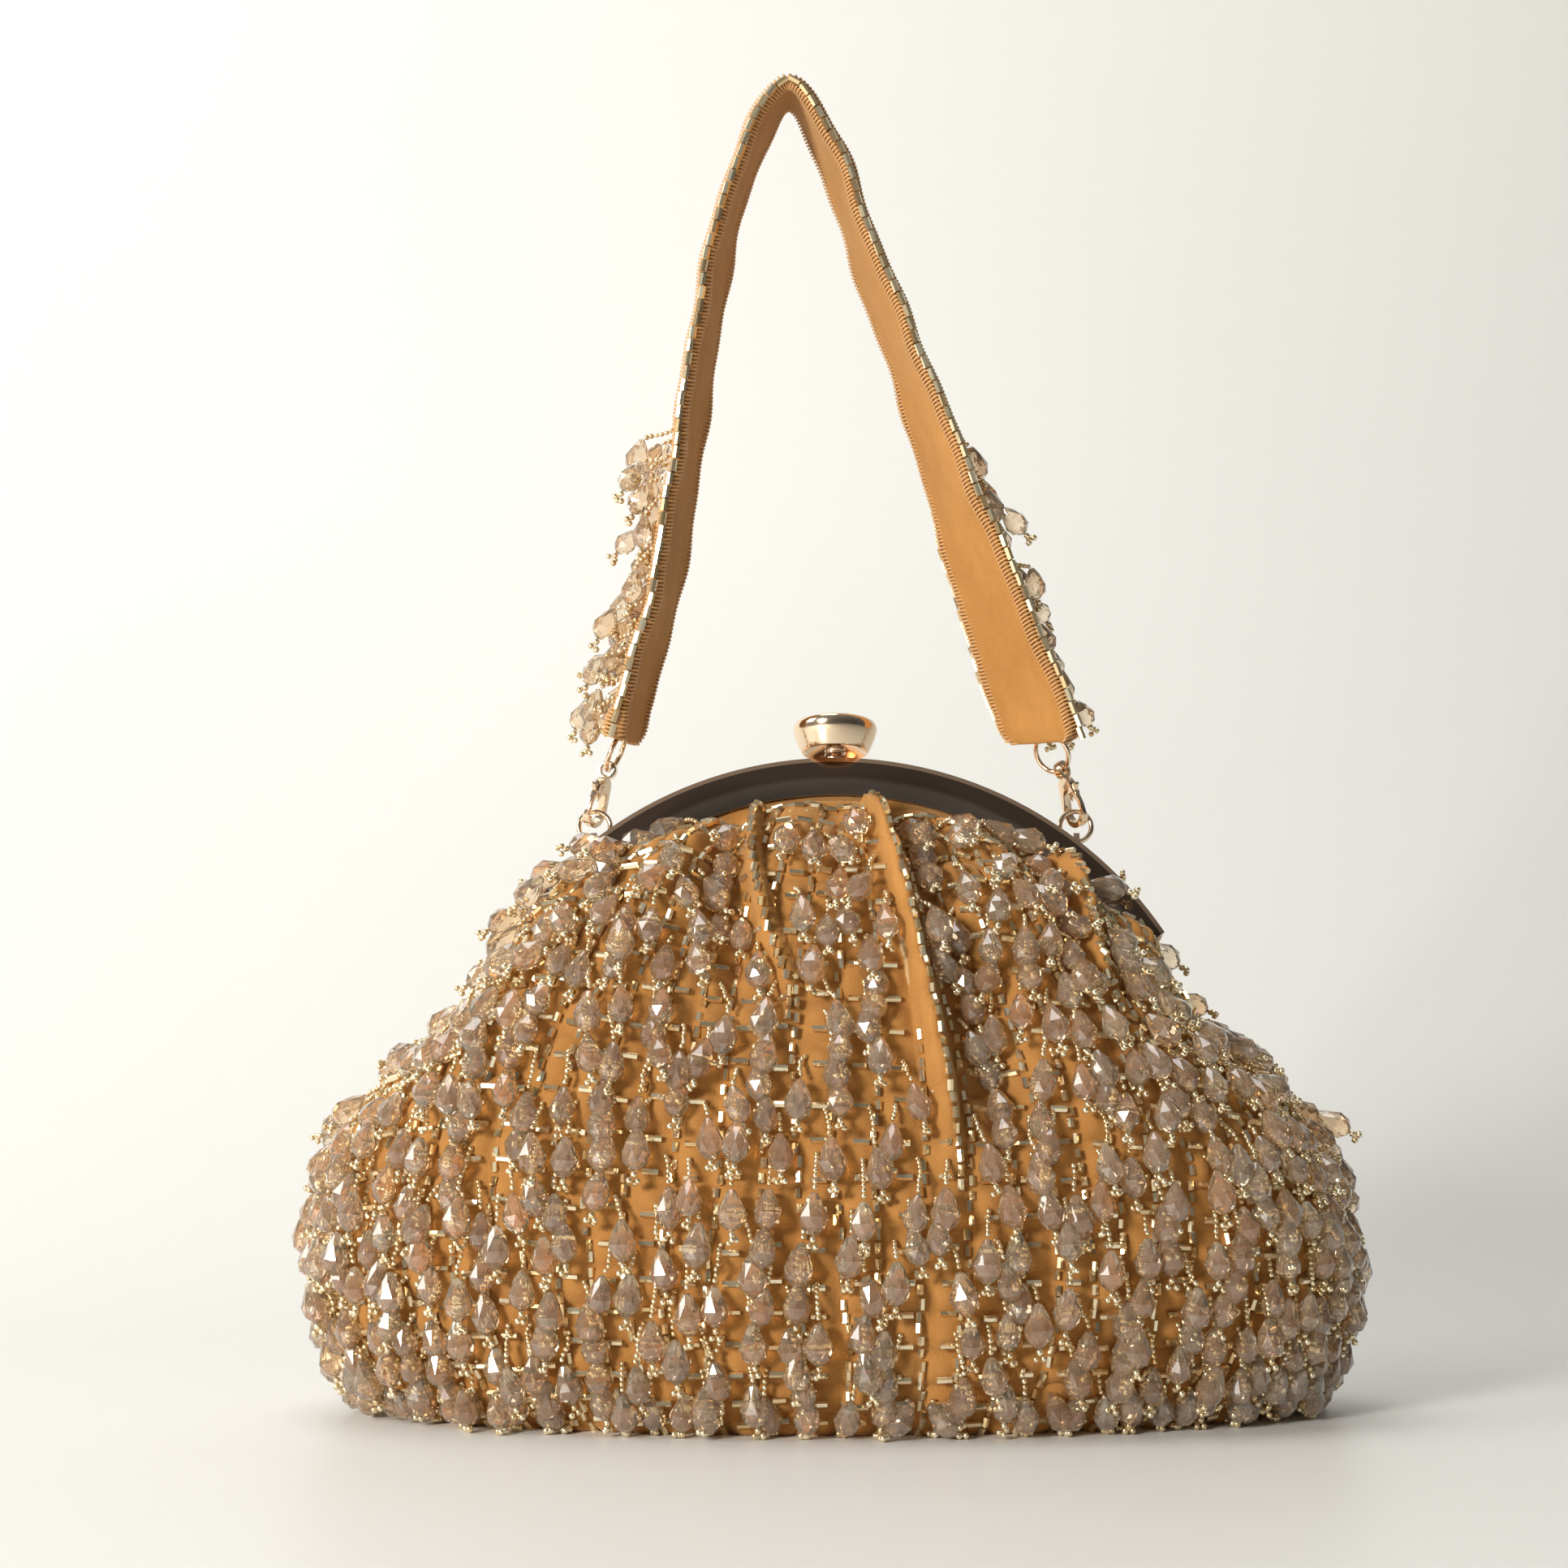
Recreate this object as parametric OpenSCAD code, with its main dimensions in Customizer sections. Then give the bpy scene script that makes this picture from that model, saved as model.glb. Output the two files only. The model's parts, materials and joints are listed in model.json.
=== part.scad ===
// Evening bag: a velvet pouch covered in beadwork, gathered into an arched
// two-part frame with a press-knob clasp, and a velvet strap on lobster claws.
// Millimetres. Z is up, the front faces -Y, and Z = 0 is the table.

/* [Frame] */
// Outer radius of the arched frame
arch_r = 89; // [87:0.5:91]
// Height of the arch's centre above the table
arch_cz = 61; // [59:0.5:63]
// Height of the metal band, from its inner to its outer edge
band_h = 9; // [8.5:0.1:9.5]
// Thickness of one half of the frame, front to back
half_t = 5; // [4.8:0.1:5.4]
// Angle by which the closed frame leans back
lean = 12; // [8:1:14]
// Height of the hinge rivets above the table
hinge_z = 102.5; // [102:0.1:103]

/* [Pouch] */
// Half width of the pouch where it meets the base
base_a = 96; // [92:1:100]
// Half depth of the pouch where it meets the base
base_b = 34; // [31:1:38]
// Sideways pull of the lower belly
belly_a = 132; // [128:1:136]
// Front-to-back pull of the lower belly
belly_b = 60; // [55:1:64]
// Thickness of the velvet
velvet_t = 1.2; // [1:0.1:1.4]
// Thickness of the bead layer over the velvet
bead_t = 3.5; // [2.5:0.5:4.5]

/* [Clasp] */
// Radius of the knob's flat top
knob_r = 9.2; // [8.5:0.1:9.8]
// Radius of the knob's lower rim
knob_foot_r = 6.9; // [6.4:0.1:7.4]
// Height of the knob
knob_h = 7.4; // [7:0.2:8.4]
// Radius of the knob's stem
stem_r = 1.5; // [1.3:0.05:1.6]

/* [Strap] */
// Width of the ribbon
strap_w = 22; // [20:0.5:23]
// Thickness of each of the ribbon's two layers
strap_t = 1.1; // [0.9:0.1:1.3]
// Sideways place of the two frame rings
ring_x = 56.5; // [55:0.5:58]
// Radius of the frame rings, to the middle of the wire
ring_r = 3.7; // [3.6:0.05:3.8]
// Radius of the rings' wire
wire_r = 0.6; // [0.5:0.05:0.6]
// Distance from a claw's hook to its eye
claw_l = 10.2; // [10:0.1:10.6]

/* [Hidden] */
$fn = 64;

velvet_colour = "#c98b45";
lining_colour = "#b98d5a";
bead_colour = "#d8bd94";
metal_colour = "#d9b795";
frame_colour = "#6b5040";
crystal_colour = "#cdb4a0";
board_colour = "#8d8272";

// Frame
half_gap = 0.1;          // from the parting plane to each half
wall_t = 0.8;            // walls of the channel
web_t = 1.2;             // outer rim of the channel
frame_end = 58;          // angle from the top to each end of the band
end_block = 2;           // degrees of solid metal that close the channel
ear_t = 1.2;             // hinge ears
ear_r = 3;
ear_x = 72;              // inner face of the front half's ear
ear_gap = 0.2;
rivet_r = 1.2;
rivet_fit = 0.05;
apex_z = arch_cz + arch_r;
channel_mid = half_gap + half_t / 2;

// Pouch
tuck_r = arch_r - band_h - 2.5;   // where the cloth folds forward under the band
held_r = arch_r - 6.2;   // top edge of the cloth, up in the channel
held_y = 3.3;
fold_y = 6.4;
cloth_end = 53;          // angle at which the cloth's top edge ends
belly_z = 27;
shoulder_a = 108;
shoulder_b = 31;
shoulder_z = 96;
shoulder_rise = 15;
seam_gap = 0.2;
foot_z = 0.3;
hinge_notch = 3.2;       // how far the panels part beside the hinge
layer_gap = 0.4;
lining_t = 0.6;
board_t = 1.5;
phi_steps = 16;
rise_steps = 8;

// Clasp
neck_h = 1.8;            // clear height under the knob
stem_y = -channel_mid;
stem_neck_r = 0.8;
bush_r = 2.6;
bush_t = 0.6;
stem_fit = 0.05;
stem_reach = 4.4;        // how far the stem goes down into the channel
catch_z = apex_z - web_t - 2.4;
catch_t = 0.5;
catch_w = 5;
window_w = 7;
window_h = 2.4;

// Claws and rings
lug_t = 1.4;
lug_w = 3.4;
lug_hole_r = 0.95;
lug_z = arch_cz + sqrt(arch_r * arch_r - ring_x * ring_x);
lug_hole_z = lug_z + 1.9;
pivot_z = lug_hole_z + 2 * ring_r;   // top wire of the frame ring
claw_t = 1.8;
claw_hole_r = 2.5;
claw_r = 3.8;
claw_tilt = 17;          // claws lean towards the strap
claw_turn = [27, 28];    // and each turns its gate outwards
eye_turn = [-11, 48];    // the eye of each turns on it, square to the strap
eye_hole_r = 1.3;
eye_r = 2.2;
eye_t = 1.6;
trigger_t = 1.0;
trigger_slot = 1.2;
pin_r = 0.4;
pin_at = [2.0, 5.4];
strap_ring_r = 4.6;
strap_wire_r = 0.6;

// The frame's own places, carried back with its lean
function leaned(p) = let (h = p[2] - hinge_z) [
    p[0],
    p[1] * cos(lean) + h * sin(lean),
    hinge_z + h * cos(lean) - p[1] * sin(lean)
];
handle_at = leaned([0, channel_mid, pivot_z]);
handle_y = handle_at[1];
handle_z = handle_at[2];
eye_x = ring_x - claw_l * sin(claw_tilt);
eye_z = handle_z + claw_l * cos(claw_tilt);

// The top of a ring is sewn into each end of the strap
end_slope = [24, -31];
end_reach = 2 * strap_ring_r - 1.5;

// Middle line of the ribbon in the plane y = handle_y, from left to right: [x, z, turn]
strap_path = [
    [-eye_x + end_reach * sin(end_slope[0]), eye_z + end_reach * cos(end_slope[0]), -eye_turn[0]],
    [-46, 169, 11], [-40.5, 189, 11], [-36.5, 213.5, 11],
    [-32.5, 241, 10], [-28, 268.5, 8], [-21, 294, 4], [-11, 310, 0],
    [-1, 295, -6], [7.5, 270.5, -10], [18, 243, -15], [27.5, 215.5, -24],
    [37, 188, -38], [44.2, 168, -45],
    [eye_x + end_reach * sin(end_slope[1]), eye_z + end_reach * cos(end_slope[1]), -eye_turn[1]]
];
spans = len(strap_path) - 1;
strap_steps = 42;
strap_lift = 0.25;       // half of the gap between the two layers
ring_room = 0.9;         // extra room at the ends for the sewn-in rings
edge_bead_r = 0.85;
edge_bead_l = 3.2;
edge_pitch = 4.1;
drop_r = 2.7;
drop_l = 8.4;
drop_pitch = 9.8;

function smooth(a, b, t) = let (u = max(0, min(1, (t - a) / (b - a)))) u * u * (3 - 2 * u);
function bezier(a, b, c, d, t) =
    a * pow(1 - t, 3) + 3 * b * t * pow(1 - t, 2) + 3 * c * t * t * (1 - t) + d * pow(t, 3);
function arch_point(r, y, angle) = leaned([r * sin(angle), y, arch_cz + r * cos(angle)]);

// A point on the middle of a pouch panel's velvet: side is -1 front and 1 back, around
// is -90 to 90 from seam to seam, and t is 0 at the base and 1 under the frame.
function pouch_middle(side, around, t) =
    bezier(
        [base_a * sin(around), side * base_b * cos(around), foot_z],
        [belly_a * sin(around), side * belly_b * cos(around), belly_z],
        [
            shoulder_a * sin(around),
            side * shoulder_b * cos(around),
            shoulder_z + shoulder_rise * cos(around)
        ],
        arch_point(tuck_r, side * fold_y, around / 90 * cloth_end),
        t
    ) + [0, side * (seam_gap + hinge_notch * smooth(0.55, 0.8, t) * (1 - smooth(0.88, 1, t))), 0];

// The way out of the panel there. At the base it is level, so layers share one floor.
function pouch_out(side, around, t) =
    let (
        run = pouch_middle(side, around + 1, t) - pouch_middle(side, around - 1, t),
        rise = pouch_middle(side, around, min(1, t + 0.02))
            - pouch_middle(side, around, max(0, t - 0.02)),
        n = -side * cross(run, rise),
        level = [n[0], n[1], n[2] * smooth(0, 0.16, t)]
    )
    level / norm(level);

// The same point at a distance out. At t = 2 the cloth has folded back under the band,
// and at t = 3 it has gone up into the channel.
function pouch_point(side, around, t, out, foot) =
    let (turn = around / 90 * cloth_end)
    t > 2.5 ? arch_point(held_r, side * (held_y + out), turn) :
    t > 1.5 ? arch_point(tuck_r + out, side * (held_y + out), turn) :
    let (p = pouch_middle(side, around, t) + out * pouch_out(side, around, t))
    [p[0], p[1], t == 0 ? foot : max(p[2], foot + 0.1)];

// A closed sheet between two grids of points with the same rows and columns
module thick_sheet(outer, inner, rows, cols, flip) {
    n = cols + 1;
    m = (rows + 1) * n;
    quads = [
        for (i = [0 : rows - 1], j = [0 : cols - 1])
            [i * n + j, i * n + j + 1, (i + 1) * n + j + 1, (i + 1) * n + j],
        for (i = [0 : rows - 1], j = [0 : cols - 1])
            [m + (i + 1) * n + j, m + (i + 1) * n + j + 1, m + i * n + j + 1, m + i * n + j],
        for (j = [0 : cols - 1]) [m + j, m + j + 1, j + 1, j],
        for (j = [0 : cols - 1])
            [rows * n + j, rows * n + j + 1, m + rows * n + j + 1, m + rows * n + j],
        for (i = [0 : rows - 1]) [i * n, (i + 1) * n, m + (i + 1) * n, m + i * n],
        for (i = [0 : rows - 1])
            [m + i * n + cols, m + (i + 1) * n + cols, (i + 1) * n + cols, i * n + cols]
    ];
    triangles = [for (q = quads) each [[q[0], q[1], q[2]], [q[0], q[2], q[3]]]];
    polyhedron(
        points = concat(outer, inner),
        faces = flip ? [for (t = triangles) [t[2], t[1], t[0]]] : triangles,
        convexity = 8
    );
}

// A panel of the pouch between two distances out. Every panel keeps to one grid of
// corners, so that layers lie evenly in each other: reach counts its columns each way.
module panel(side, far, near, foot, low = 0, high = rise_steps, tucked = false, reach = phi_steps / 2) {
    rises = [
        for (i = [low : high]) i / rise_steps,
        if (tucked) each [2, 3]
    ];
    arounds = [for (j = [-reach : reach]) 180 * j / phi_steps];
    thick_sheet(
        [for (t = rises, a = arounds) pouch_point(side, a, t, far, foot)],
        [for (t = rises, a = arounds) pouch_point(side, a, t, near, foot)],
        len(rises) - 1, 2 * reach, side > 0
    );
}

module leaning() {
    translate([0, 0, hinge_z])
        rotate([-lean, 0, 0])
            translate([0, 0, -hinge_z])
                children();
}

// ---------------------------------------------------------------- pouch

module velvet_front() {
    color(velvet_colour) panel(-1, velvet_t / 2, -velvet_t / 2, foot_z, tucked = true);
}

module velvet_back() {
    color(velvet_colour) panel(1, velvet_t / 2, -velvet_t / 2, foot_z, tucked = true);
}

module oval_plate(inset, z, t) {
    steps = 48;
    translate([0, 0, z])
        linear_extrude(t)
            polygon([
                for (i = [0 : steps - 1])
                    let (a = 360 * i / steps)
                        [(base_a - inset) * cos(a), (base_b - inset) * sin(a)]
            ]);
}

module velvet_base() {
    color(velvet_colour) oval_plate(2, 0, velvet_t);
}

module base_board() {
    color(board_colour) oval_plate(3, velvet_t + layer_gap, board_t);
}

module lining_base() {
    color(lining_colour) oval_plate(3.5, velvet_t + board_t + 2 * layer_gap, lining_t);
}

lining_far = -velvet_t / 2 - layer_gap;
lining_near = lining_far - lining_t;
lining_foot = velvet_t + board_t + lining_t + 3 * layer_gap;

module lining_front() {
    color(lining_colour) panel(-1, lining_far, lining_near, lining_foot, tucked = true);
}

module lining_back() {
    color(lining_colour) panel(1, lining_far, lining_near, lining_foot, tucked = true);
}

module lining_pocket() {
    pocket_far = lining_near - layer_gap;
    color(lining_colour)
        panel(1, pocket_far, pocket_far - lining_t, lining_foot, low = 2, high = 5, reach = 4);
}

bead_near = velvet_t / 2 + layer_gap;

module beadwork_front() {
    color(bead_colour) panel(-1, bead_near + bead_t, bead_near, foot_z, high = rise_steps - 1);
}

module beadwork_back() {
    color(bead_colour) panel(1, bead_near + bead_t, bead_near, foot_z, high = rise_steps - 1);
}

// ---------------------------------------------------------------- frame

module hinge_rivet(s) {
    head_t = 0.7;
    span = 2 * ear_t + 3 * ear_gap;
    color(metal_colour)
        translate([s * (ear_x - ear_gap), 0, hinge_z])
            rotate([0, s * 90, 0]) {
                cylinder(r = rivet_r, h = span);
                translate([0, 0, -head_t]) cylinder(r = 2.2, h = head_t);
                translate([0, 0, span]) cylinder(r = 2.2, h = head_t);
            }
}

module hinge_rivet_left() { hinge_rivet(-1); }
module hinge_rivet_right() { hinge_rivet(1); }

// A section in radius and depth, swept along the arch to an angle each side of the top
module band(section, reach) {
    translate([0, 0, arch_cz])
        rotate([90, 0, 0])
            rotate([0, 0, 90 - reach])
                rotate_extrude(angle = 2 * reach, $fn = 180)
                    polygon(section);
}

// One half of the frame: side is -1 in front and 1 behind
module half_frame(side, ear_at) {
    deep = half_gap + half_t;
    near = side > 0 ? -deep : half_gap;
    far = side > 0 ? -half_gap : deep;
    inner = arch_r - band_h;
    ear_low = -0.3;
    ear_high = 6.7;
    difference() {
        band([[inner, near], [arch_r, near], [arch_r, far], [inner, far]], frame_end);
        band([
            [inner - 1, near + wall_t], [arch_r - web_t, near + wall_t],
            [arch_r - web_t, far - wall_t], [inner - 1, far - wall_t]
        ], frame_end - end_block);
    }
    for (s = [-1, 1])
        translate([s * (ear_at + ear_t / 2), 0, hinge_z]) {
            rotate([0, 90, 0])
                cylinder(r = ear_r, h = ear_t, center = true);
            translate([0, side * 2.6, (ear_low + ear_high) / 2])
                cube([ear_t, 3.6, ear_high - ear_low], center = true);
        }
}

module ear_bores() {
    rotate([0, 90, 0])
        cylinder(r = rivet_r + rivet_fit, h = 200, center = true);
}

module catch_window() {
    translate([0, 0, catch_z + catch_t / 2])
        cube([window_w, 2 * (half_gap + wall_t) + 0.4, window_h], center = true);
}

module front_frame() {
    color(frame_colour)
        leaning()
            difference() {
                half_frame(-1, ear_x);
                translate([0, 0, hinge_z]) ear_bores();
                catch_window();
                translate([0, stem_y, apex_z - 4])
                    cylinder(r = bush_r - 0.6, h = 8);
            }
}

module back_frame() {
    color(frame_colour)
        leaning()
            difference() {
                union() {
                    half_frame(1, ear_x + ear_t + ear_gap);
                    for (s = [-1, 1])
                        translate([s * ring_x, channel_mid, lug_hole_z - 1])
                            cube([lug_t, lug_w, 5.4], center = true);
                }
                translate([0, 0, hinge_z]) ear_bores();
                catch_window();
                translate([0, channel_mid, lug_hole_z])
                    rotate([0, 90, 0])
                        cylinder(r = lug_hole_r, h = 200, center = true);
            }
}

module wire_ring(r, wire) {
    rotate_extrude() translate([r, 0]) circle(r = wire);
}

module frame_ring(s) {
    color(metal_colour)
        leaning()
            translate([s * ring_x, channel_mid, pivot_z - ring_r])
                rotate([90, 0, 0])
                    wire_ring(ring_r, wire_r);
}

module frame_ring_left() { frame_ring(-1); }
module frame_ring_right() { frame_ring(1); }

// ---------------------------------------------------------------- clasp

module clasp_bush() {
    color(metal_colour)
        leaning()
            translate([0, stem_y, 0])
                difference() {
                    union() {
                        translate([0, 0, apex_z + 0.02]) cylinder(r = bush_r, h = bush_t);
                        translate([0, 0, apex_z - web_t - 0.4])
                            cylinder(r = bush_r - 0.65, h = web_t + 0.6);
                    }
                    translate([0, 0, apex_z - 10])
                        cylinder(r = stem_r + stem_fit, h = 20);
                }
}

// Small coil spring under the knob, around the stem
module clasp_spring() {
    turns = 3;
    sides = 8;
    per_turn = 14;
    coil_r = stem_r + 0.85;
    wire = 0.25;
    low = apex_z + bush_t + wire + 0.05;
    high = apex_z + neck_h + 2.4 - wire - 0.05;
    rings = turns * per_turn;
    points = [
        for (i = [0 : rings], k = [0 : sides - 1])
            let (a = 360 * i / per_turn, b = 360 * k / sides, r = coil_r + wire * cos(b))
                [r * cos(a), r * sin(a), low + (high - low) * i / rings + wire * sin(b)]
    ];
    faces = [
        for (i = [0 : rings - 1], k = [0 : sides - 1])
            let (a = i * sides, b = (i + 1) * sides, n = (k + 1) % sides)
                each [[a + k, b + k, b + n], [a + k, b + n, a + n]],
        [for (k = [0 : sides - 1]) k],
        [for (k = [0 : sides - 1]) rings * sides + sides - 1 - k]
    ];
    color(metal_colour)
        leaning()
            translate([0, stem_y, 0])
                polyhedron(points, faces, convexity = 6);
}

// Forked leaf spring of the back half, whose prongs hold the stem's foot
module catch_spring() {
    front = stem_y - 1.5;
    back = half_gap + half_t - wall_t;
    color(metal_colour)
        leaning()
            difference() {
                translate([-catch_w / 2, front, catch_z])
                    cube([catch_w, back - front, catch_t]);
                translate([0, stem_y, catch_z - 1])
                    cylinder(r = stem_r + 0.12, h = 3);
                translate([0, front, catch_z])
                    cube([2 * stem_neck_r + 0.3, 2, 3], center = true);
            }
}

module clasp_knob() {
    foot = apex_z + neck_h;
    color(metal_colour)
        leaning()
            translate([0, stem_y, foot])
                rotate_extrude()
                    polygon([
                        [stem_r + 0.01, 2.4], [3.2, 2.4], [3.2, 0.8], [knob_foot_r - 1.2, 0],
                        [knob_foot_r, 0], [knob_foot_r + 0.5, 0.6],
                        [knob_r - 0.9, knob_h - 3.6], [knob_r - 0.15, knob_h - 1.6],
                        [knob_r, knob_h - 0.6], [knob_r - 0.5, knob_h],
                        [0, knob_h], [0, 5], [stem_r + 0.01, 5]
                    ]);
}

// The stem's neck slides into the fork when the knob is pressed
module clasp_stem() {
    foot = apex_z - stem_reach;
    foot_h = 1.4;
    neck = 1.4;
    shoulder = foot + foot_h + neck;
    color(metal_colour)
        leaning()
            translate([0, stem_y, 0]) {
                translate([0, 0, foot])
                    cylinder(r = stem_r, h = foot_h);
                translate([0, 0, foot])
                    cylinder(r = stem_neck_r, h = foot_h + neck + 0.5);
                translate([0, 0, shoulder])
                    cylinder(r = stem_r, h = apex_z + neck_h + 4.9 - shoulder);
            }
}

// ---------------------------------------------------------------- claws

function end_of(s) = s < 0 ? 0 : 1;

// Puts a claw's own drawing, length along Z and gate towards -Y, at its ring
module at_claw(s) {
    translate([s * ring_x, handle_y, handle_z])
        rotate([0, -s * claw_tilt, 0])
            rotate([0, 0, s * claw_turn[end_of(s)]])
                children();
}

// Stands a flat drawing up in the claw's plane: first axis to -Y, second up
module upright(t) {
    rotate([90, 0, -90])
        translate([0, 0, -t / 2])
            children();
}

module claw_eye(s, r, t) {
    translate([0, 0, claw_l])
        rotate([90, 0, eye_turn[end_of(s)] - s * claw_turn[end_of(s)]])
            cylinder(r = r, h = t, center = true);
}

module claw(s) {
    color(metal_colour)
        at_claw(s)
            difference() {
                union() {
                    upright(claw_t)
                        linear_extrude(claw_t)
                            difference() {
                                hull() {
                                    circle(r = claw_r);
                                    translate([0, 6]) circle(r = 2.4);
                                }
                                hull() {
                                    circle(r = claw_hole_r);
                                    translate([-0.3, 3.4]) circle(r = 1);
                                }
                            }
                    claw_eye(s, eye_r, eye_t);
                }
                // the gap that the gate closes
                upright(claw_t + 1)
                    translate([1.5, -1.3, 0]) cube([4, 5.2, claw_t + 1]);
                // slot for the gate's root
                upright(trigger_slot)
                    translate([0.9, 1.8, 0]) cube([4, 4.9, trigger_slot]);
                upright(8)
                    translate(pin_at) cylinder(r = pin_r, h = 8);
                claw_eye(s, eye_hole_r, 8);
            }
}

module claw_left() { claw(-1); }
module claw_right() { claw(1); }

module trigger_pin(s) {
    color(metal_colour)
        at_claw(s)
            upright(claw_t)
                translate(pin_at) cylinder(r = pin_r - 0.01, h = claw_t);
}

module trigger_pin_left() { trigger_pin(-1); }
module trigger_pin_right() { trigger_pin(1); }

// The gate: a lever from its pin down to the hook's tip, with a thumb nub
module trigger(s) {
    color(metal_colour)
        at_claw(s)
            upright(trigger_t)
                difference() {
                    linear_extrude(trigger_t)
                        union() {
                            polygon([
                                [1.7, 4.4], [2.35, 2.4], [2.65, 0.2], [2.6, -1.15],
                                [3.7, -1.15], [3.75, 1.4], [3.1, 4.4]
                            ]);
                            translate(pin_at) circle(r = 1.05);
                            polygon([[2, 6.2], [2.6, 4.3], [4.3, 5.9], [4.1, 6.5], [3.2, 6.4]]);
                        }
                    translate(pin_at) translate([0, 0, -1]) cylinder(r = pin_r + 0.05, h = 4);
                }
}

module trigger_left() { trigger(-1); }
module trigger_right() { trigger(1); }

// Leaf spring between the slot's floor and the gate
module trigger_spring(s) {
    color(metal_colour)
        at_claw(s)
            upright(0.8)
                translate([0.95, 3.1, 0])
                    rotate([0, 0, -35])
                        cube([0.2, 1, 0.8]);
}

module trigger_spring_left() { trigger_spring(-1); }
module trigger_spring_right() { trigger_spring(1); }

// ---------------------------------------------------------------- strap

function catmull(a, b, c, d, u) =
    0.5 * (2 * b + (c - a) * u + (2 * a - 5 * b + 4 * c - d) * u * u
        + (3 * b - a - 3 * c + d) * pow(u, 3));
function path_at(u) =
    let (i = min(spans - 1, floor(u * spans)), f = u * spans - i)
    catmull(
        strap_path[max(0, i - 1)], strap_path[i],
        strap_path[i + 1], strap_path[min(spans, i + 2)], f
    );
function place_at(u) = let (p = path_at(u)) [p[0], handle_y, p[1]];
function across_at(u) = let (a = path_at(u)[2]) [sin(a), cos(a), 0];
function along_at(u) =
    let (d = place_at(min(1, u + 0.01)) - place_at(max(0, u - 0.01))) d / norm(d);
function out_at(u) = let (n = cross(along_at(u), across_at(u))) n / norm(n);
// Share of the path at a length along it
measure = 120;
run = [
    for (i = 0, s = 0; i <= measure;
        s = s + norm(place_at(min(1, (i + 1) / measure)) - place_at(i / measure)), i = i + 1)
        [s, i / measure]
];
strap_length = run[measure][0];
function share_at(s) = lookup(s, run);
// Half the room between the layers: wider at the ends, where the rings are sewn in
function part_at(u) = strap_lift + ring_room * (1 - smooth(0.02, 0.05, min(u, 1 - u)));

module strap_layer(way) {
    steps = [for (i = [0 : strap_steps]) i / strap_steps];
    function edge(u, side, lift) =
        place_at(u) + across_at(u) * side * strap_w / 2 + out_at(u) * lift;
    thick_sheet(
        [for (u = steps, side = [-1, 1]) edge(u, side, way * (part_at(u) + strap_t))],
        [for (u = steps, side = [-1, 1]) edge(u, side, way * part_at(u))],
        strap_steps, 1, way > 0
    );
}

module strap_outer() {
    color(velvet_colour) strap_layer(1);
}

module strap_lining() {
    color(velvet_colour) strap_layer(-1);
}

// Turns Z to a direction
module aimed(d) {
    rotate([0, acos(d[2]), atan2(d[1], d[0])])
        children();
}

module edge_beads(side) {
    count = floor(strap_length / edge_pitch);
    color(bead_colour)
        for (i = [0 : count - 1]) {
            u = share_at(strap_length * (i + 0.5) / count);
            translate(place_at(u) + across_at(u) * side * (strap_w / 2 + edge_bead_r + 0.2))
                aimed(along_at(u))
                    cylinder(r = edge_bead_r, h = edge_bead_l, center = true, $fn = 16);
        }
}

module strap_bugles_front() { edge_beads(-1); }
module strap_bugles_back() { edge_beads(1); }

module bead_drop() {
    rotate_extrude($fn = 16)
        polygon([[0, 0], [1.7, 0.4], [drop_r, 2.8], [1.7, 5.2], [0.6, 7.2], [0.5, drop_l], [0, drop_l]]);
}

// Drops on the outer face of the strap's lower third
module strap_drops(s) {
    rows = 6;
    columns = 3;
    color(crystal_colour)
        for (i = [0 : rows - 1], j = [0 : columns - 1]) {
            far = 3 + drop_pitch * i;
            v = share_at(s < 0 ? far : strap_length - far);
            translate(place_at(v) + across_at(v) * 6.6 * (j - 1) + out_at(v) * 5.2)
                aimed(along_at(v) * (s < 0 ? 1 : -1))
                    bead_drop();
        }
}

module strap_drops_left() { strap_drops(-1); }
module strap_drops_right() { strap_drops(1); }

// The ring sewn into the strap's end lies in the ribbon's plane
module strap_ring(s) {
    u = end_of(s);
    up = [sin(end_slope[u]), 0, cos(end_slope[u])];
    side_on = cross(up, across_at(u));
    color(metal_colour)
        translate([s * eye_x, handle_y, eye_z] + up * strap_ring_r)
            aimed(side_on / norm(side_on))
                wire_ring(strap_ring_r, strap_wire_r);
}

module strap_ring_left() { strap_ring(-1); }
module strap_ring_right() { strap_ring(1); }

velvet_front();
velvet_back();
velvet_base();
base_board();
lining_front();
lining_back();
lining_base();
lining_pocket();
beadwork_front();
beadwork_back();
hinge_rivet_left();
hinge_rivet_right();
front_frame();
clasp_bush();
clasp_spring();
back_frame();
catch_spring();
frame_ring_left();
frame_ring_right();
clasp_knob();
clasp_stem();
claw_left();
claw_right();
trigger_pin_left();
trigger_pin_right();
trigger_left();
trigger_right();
trigger_spring_left();
trigger_spring_right();
strap_ring_left();
strap_ring_right();
strap_outer();
strap_lining();
strap_bugles_front();
strap_bugles_back();
strap_drops_left();
strap_drops_right();
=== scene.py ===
import json
import math

import bpy
import numpy as np
from mathutils import Matrix, Vector
from mathutils.bvhtree import BVHTree


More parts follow.
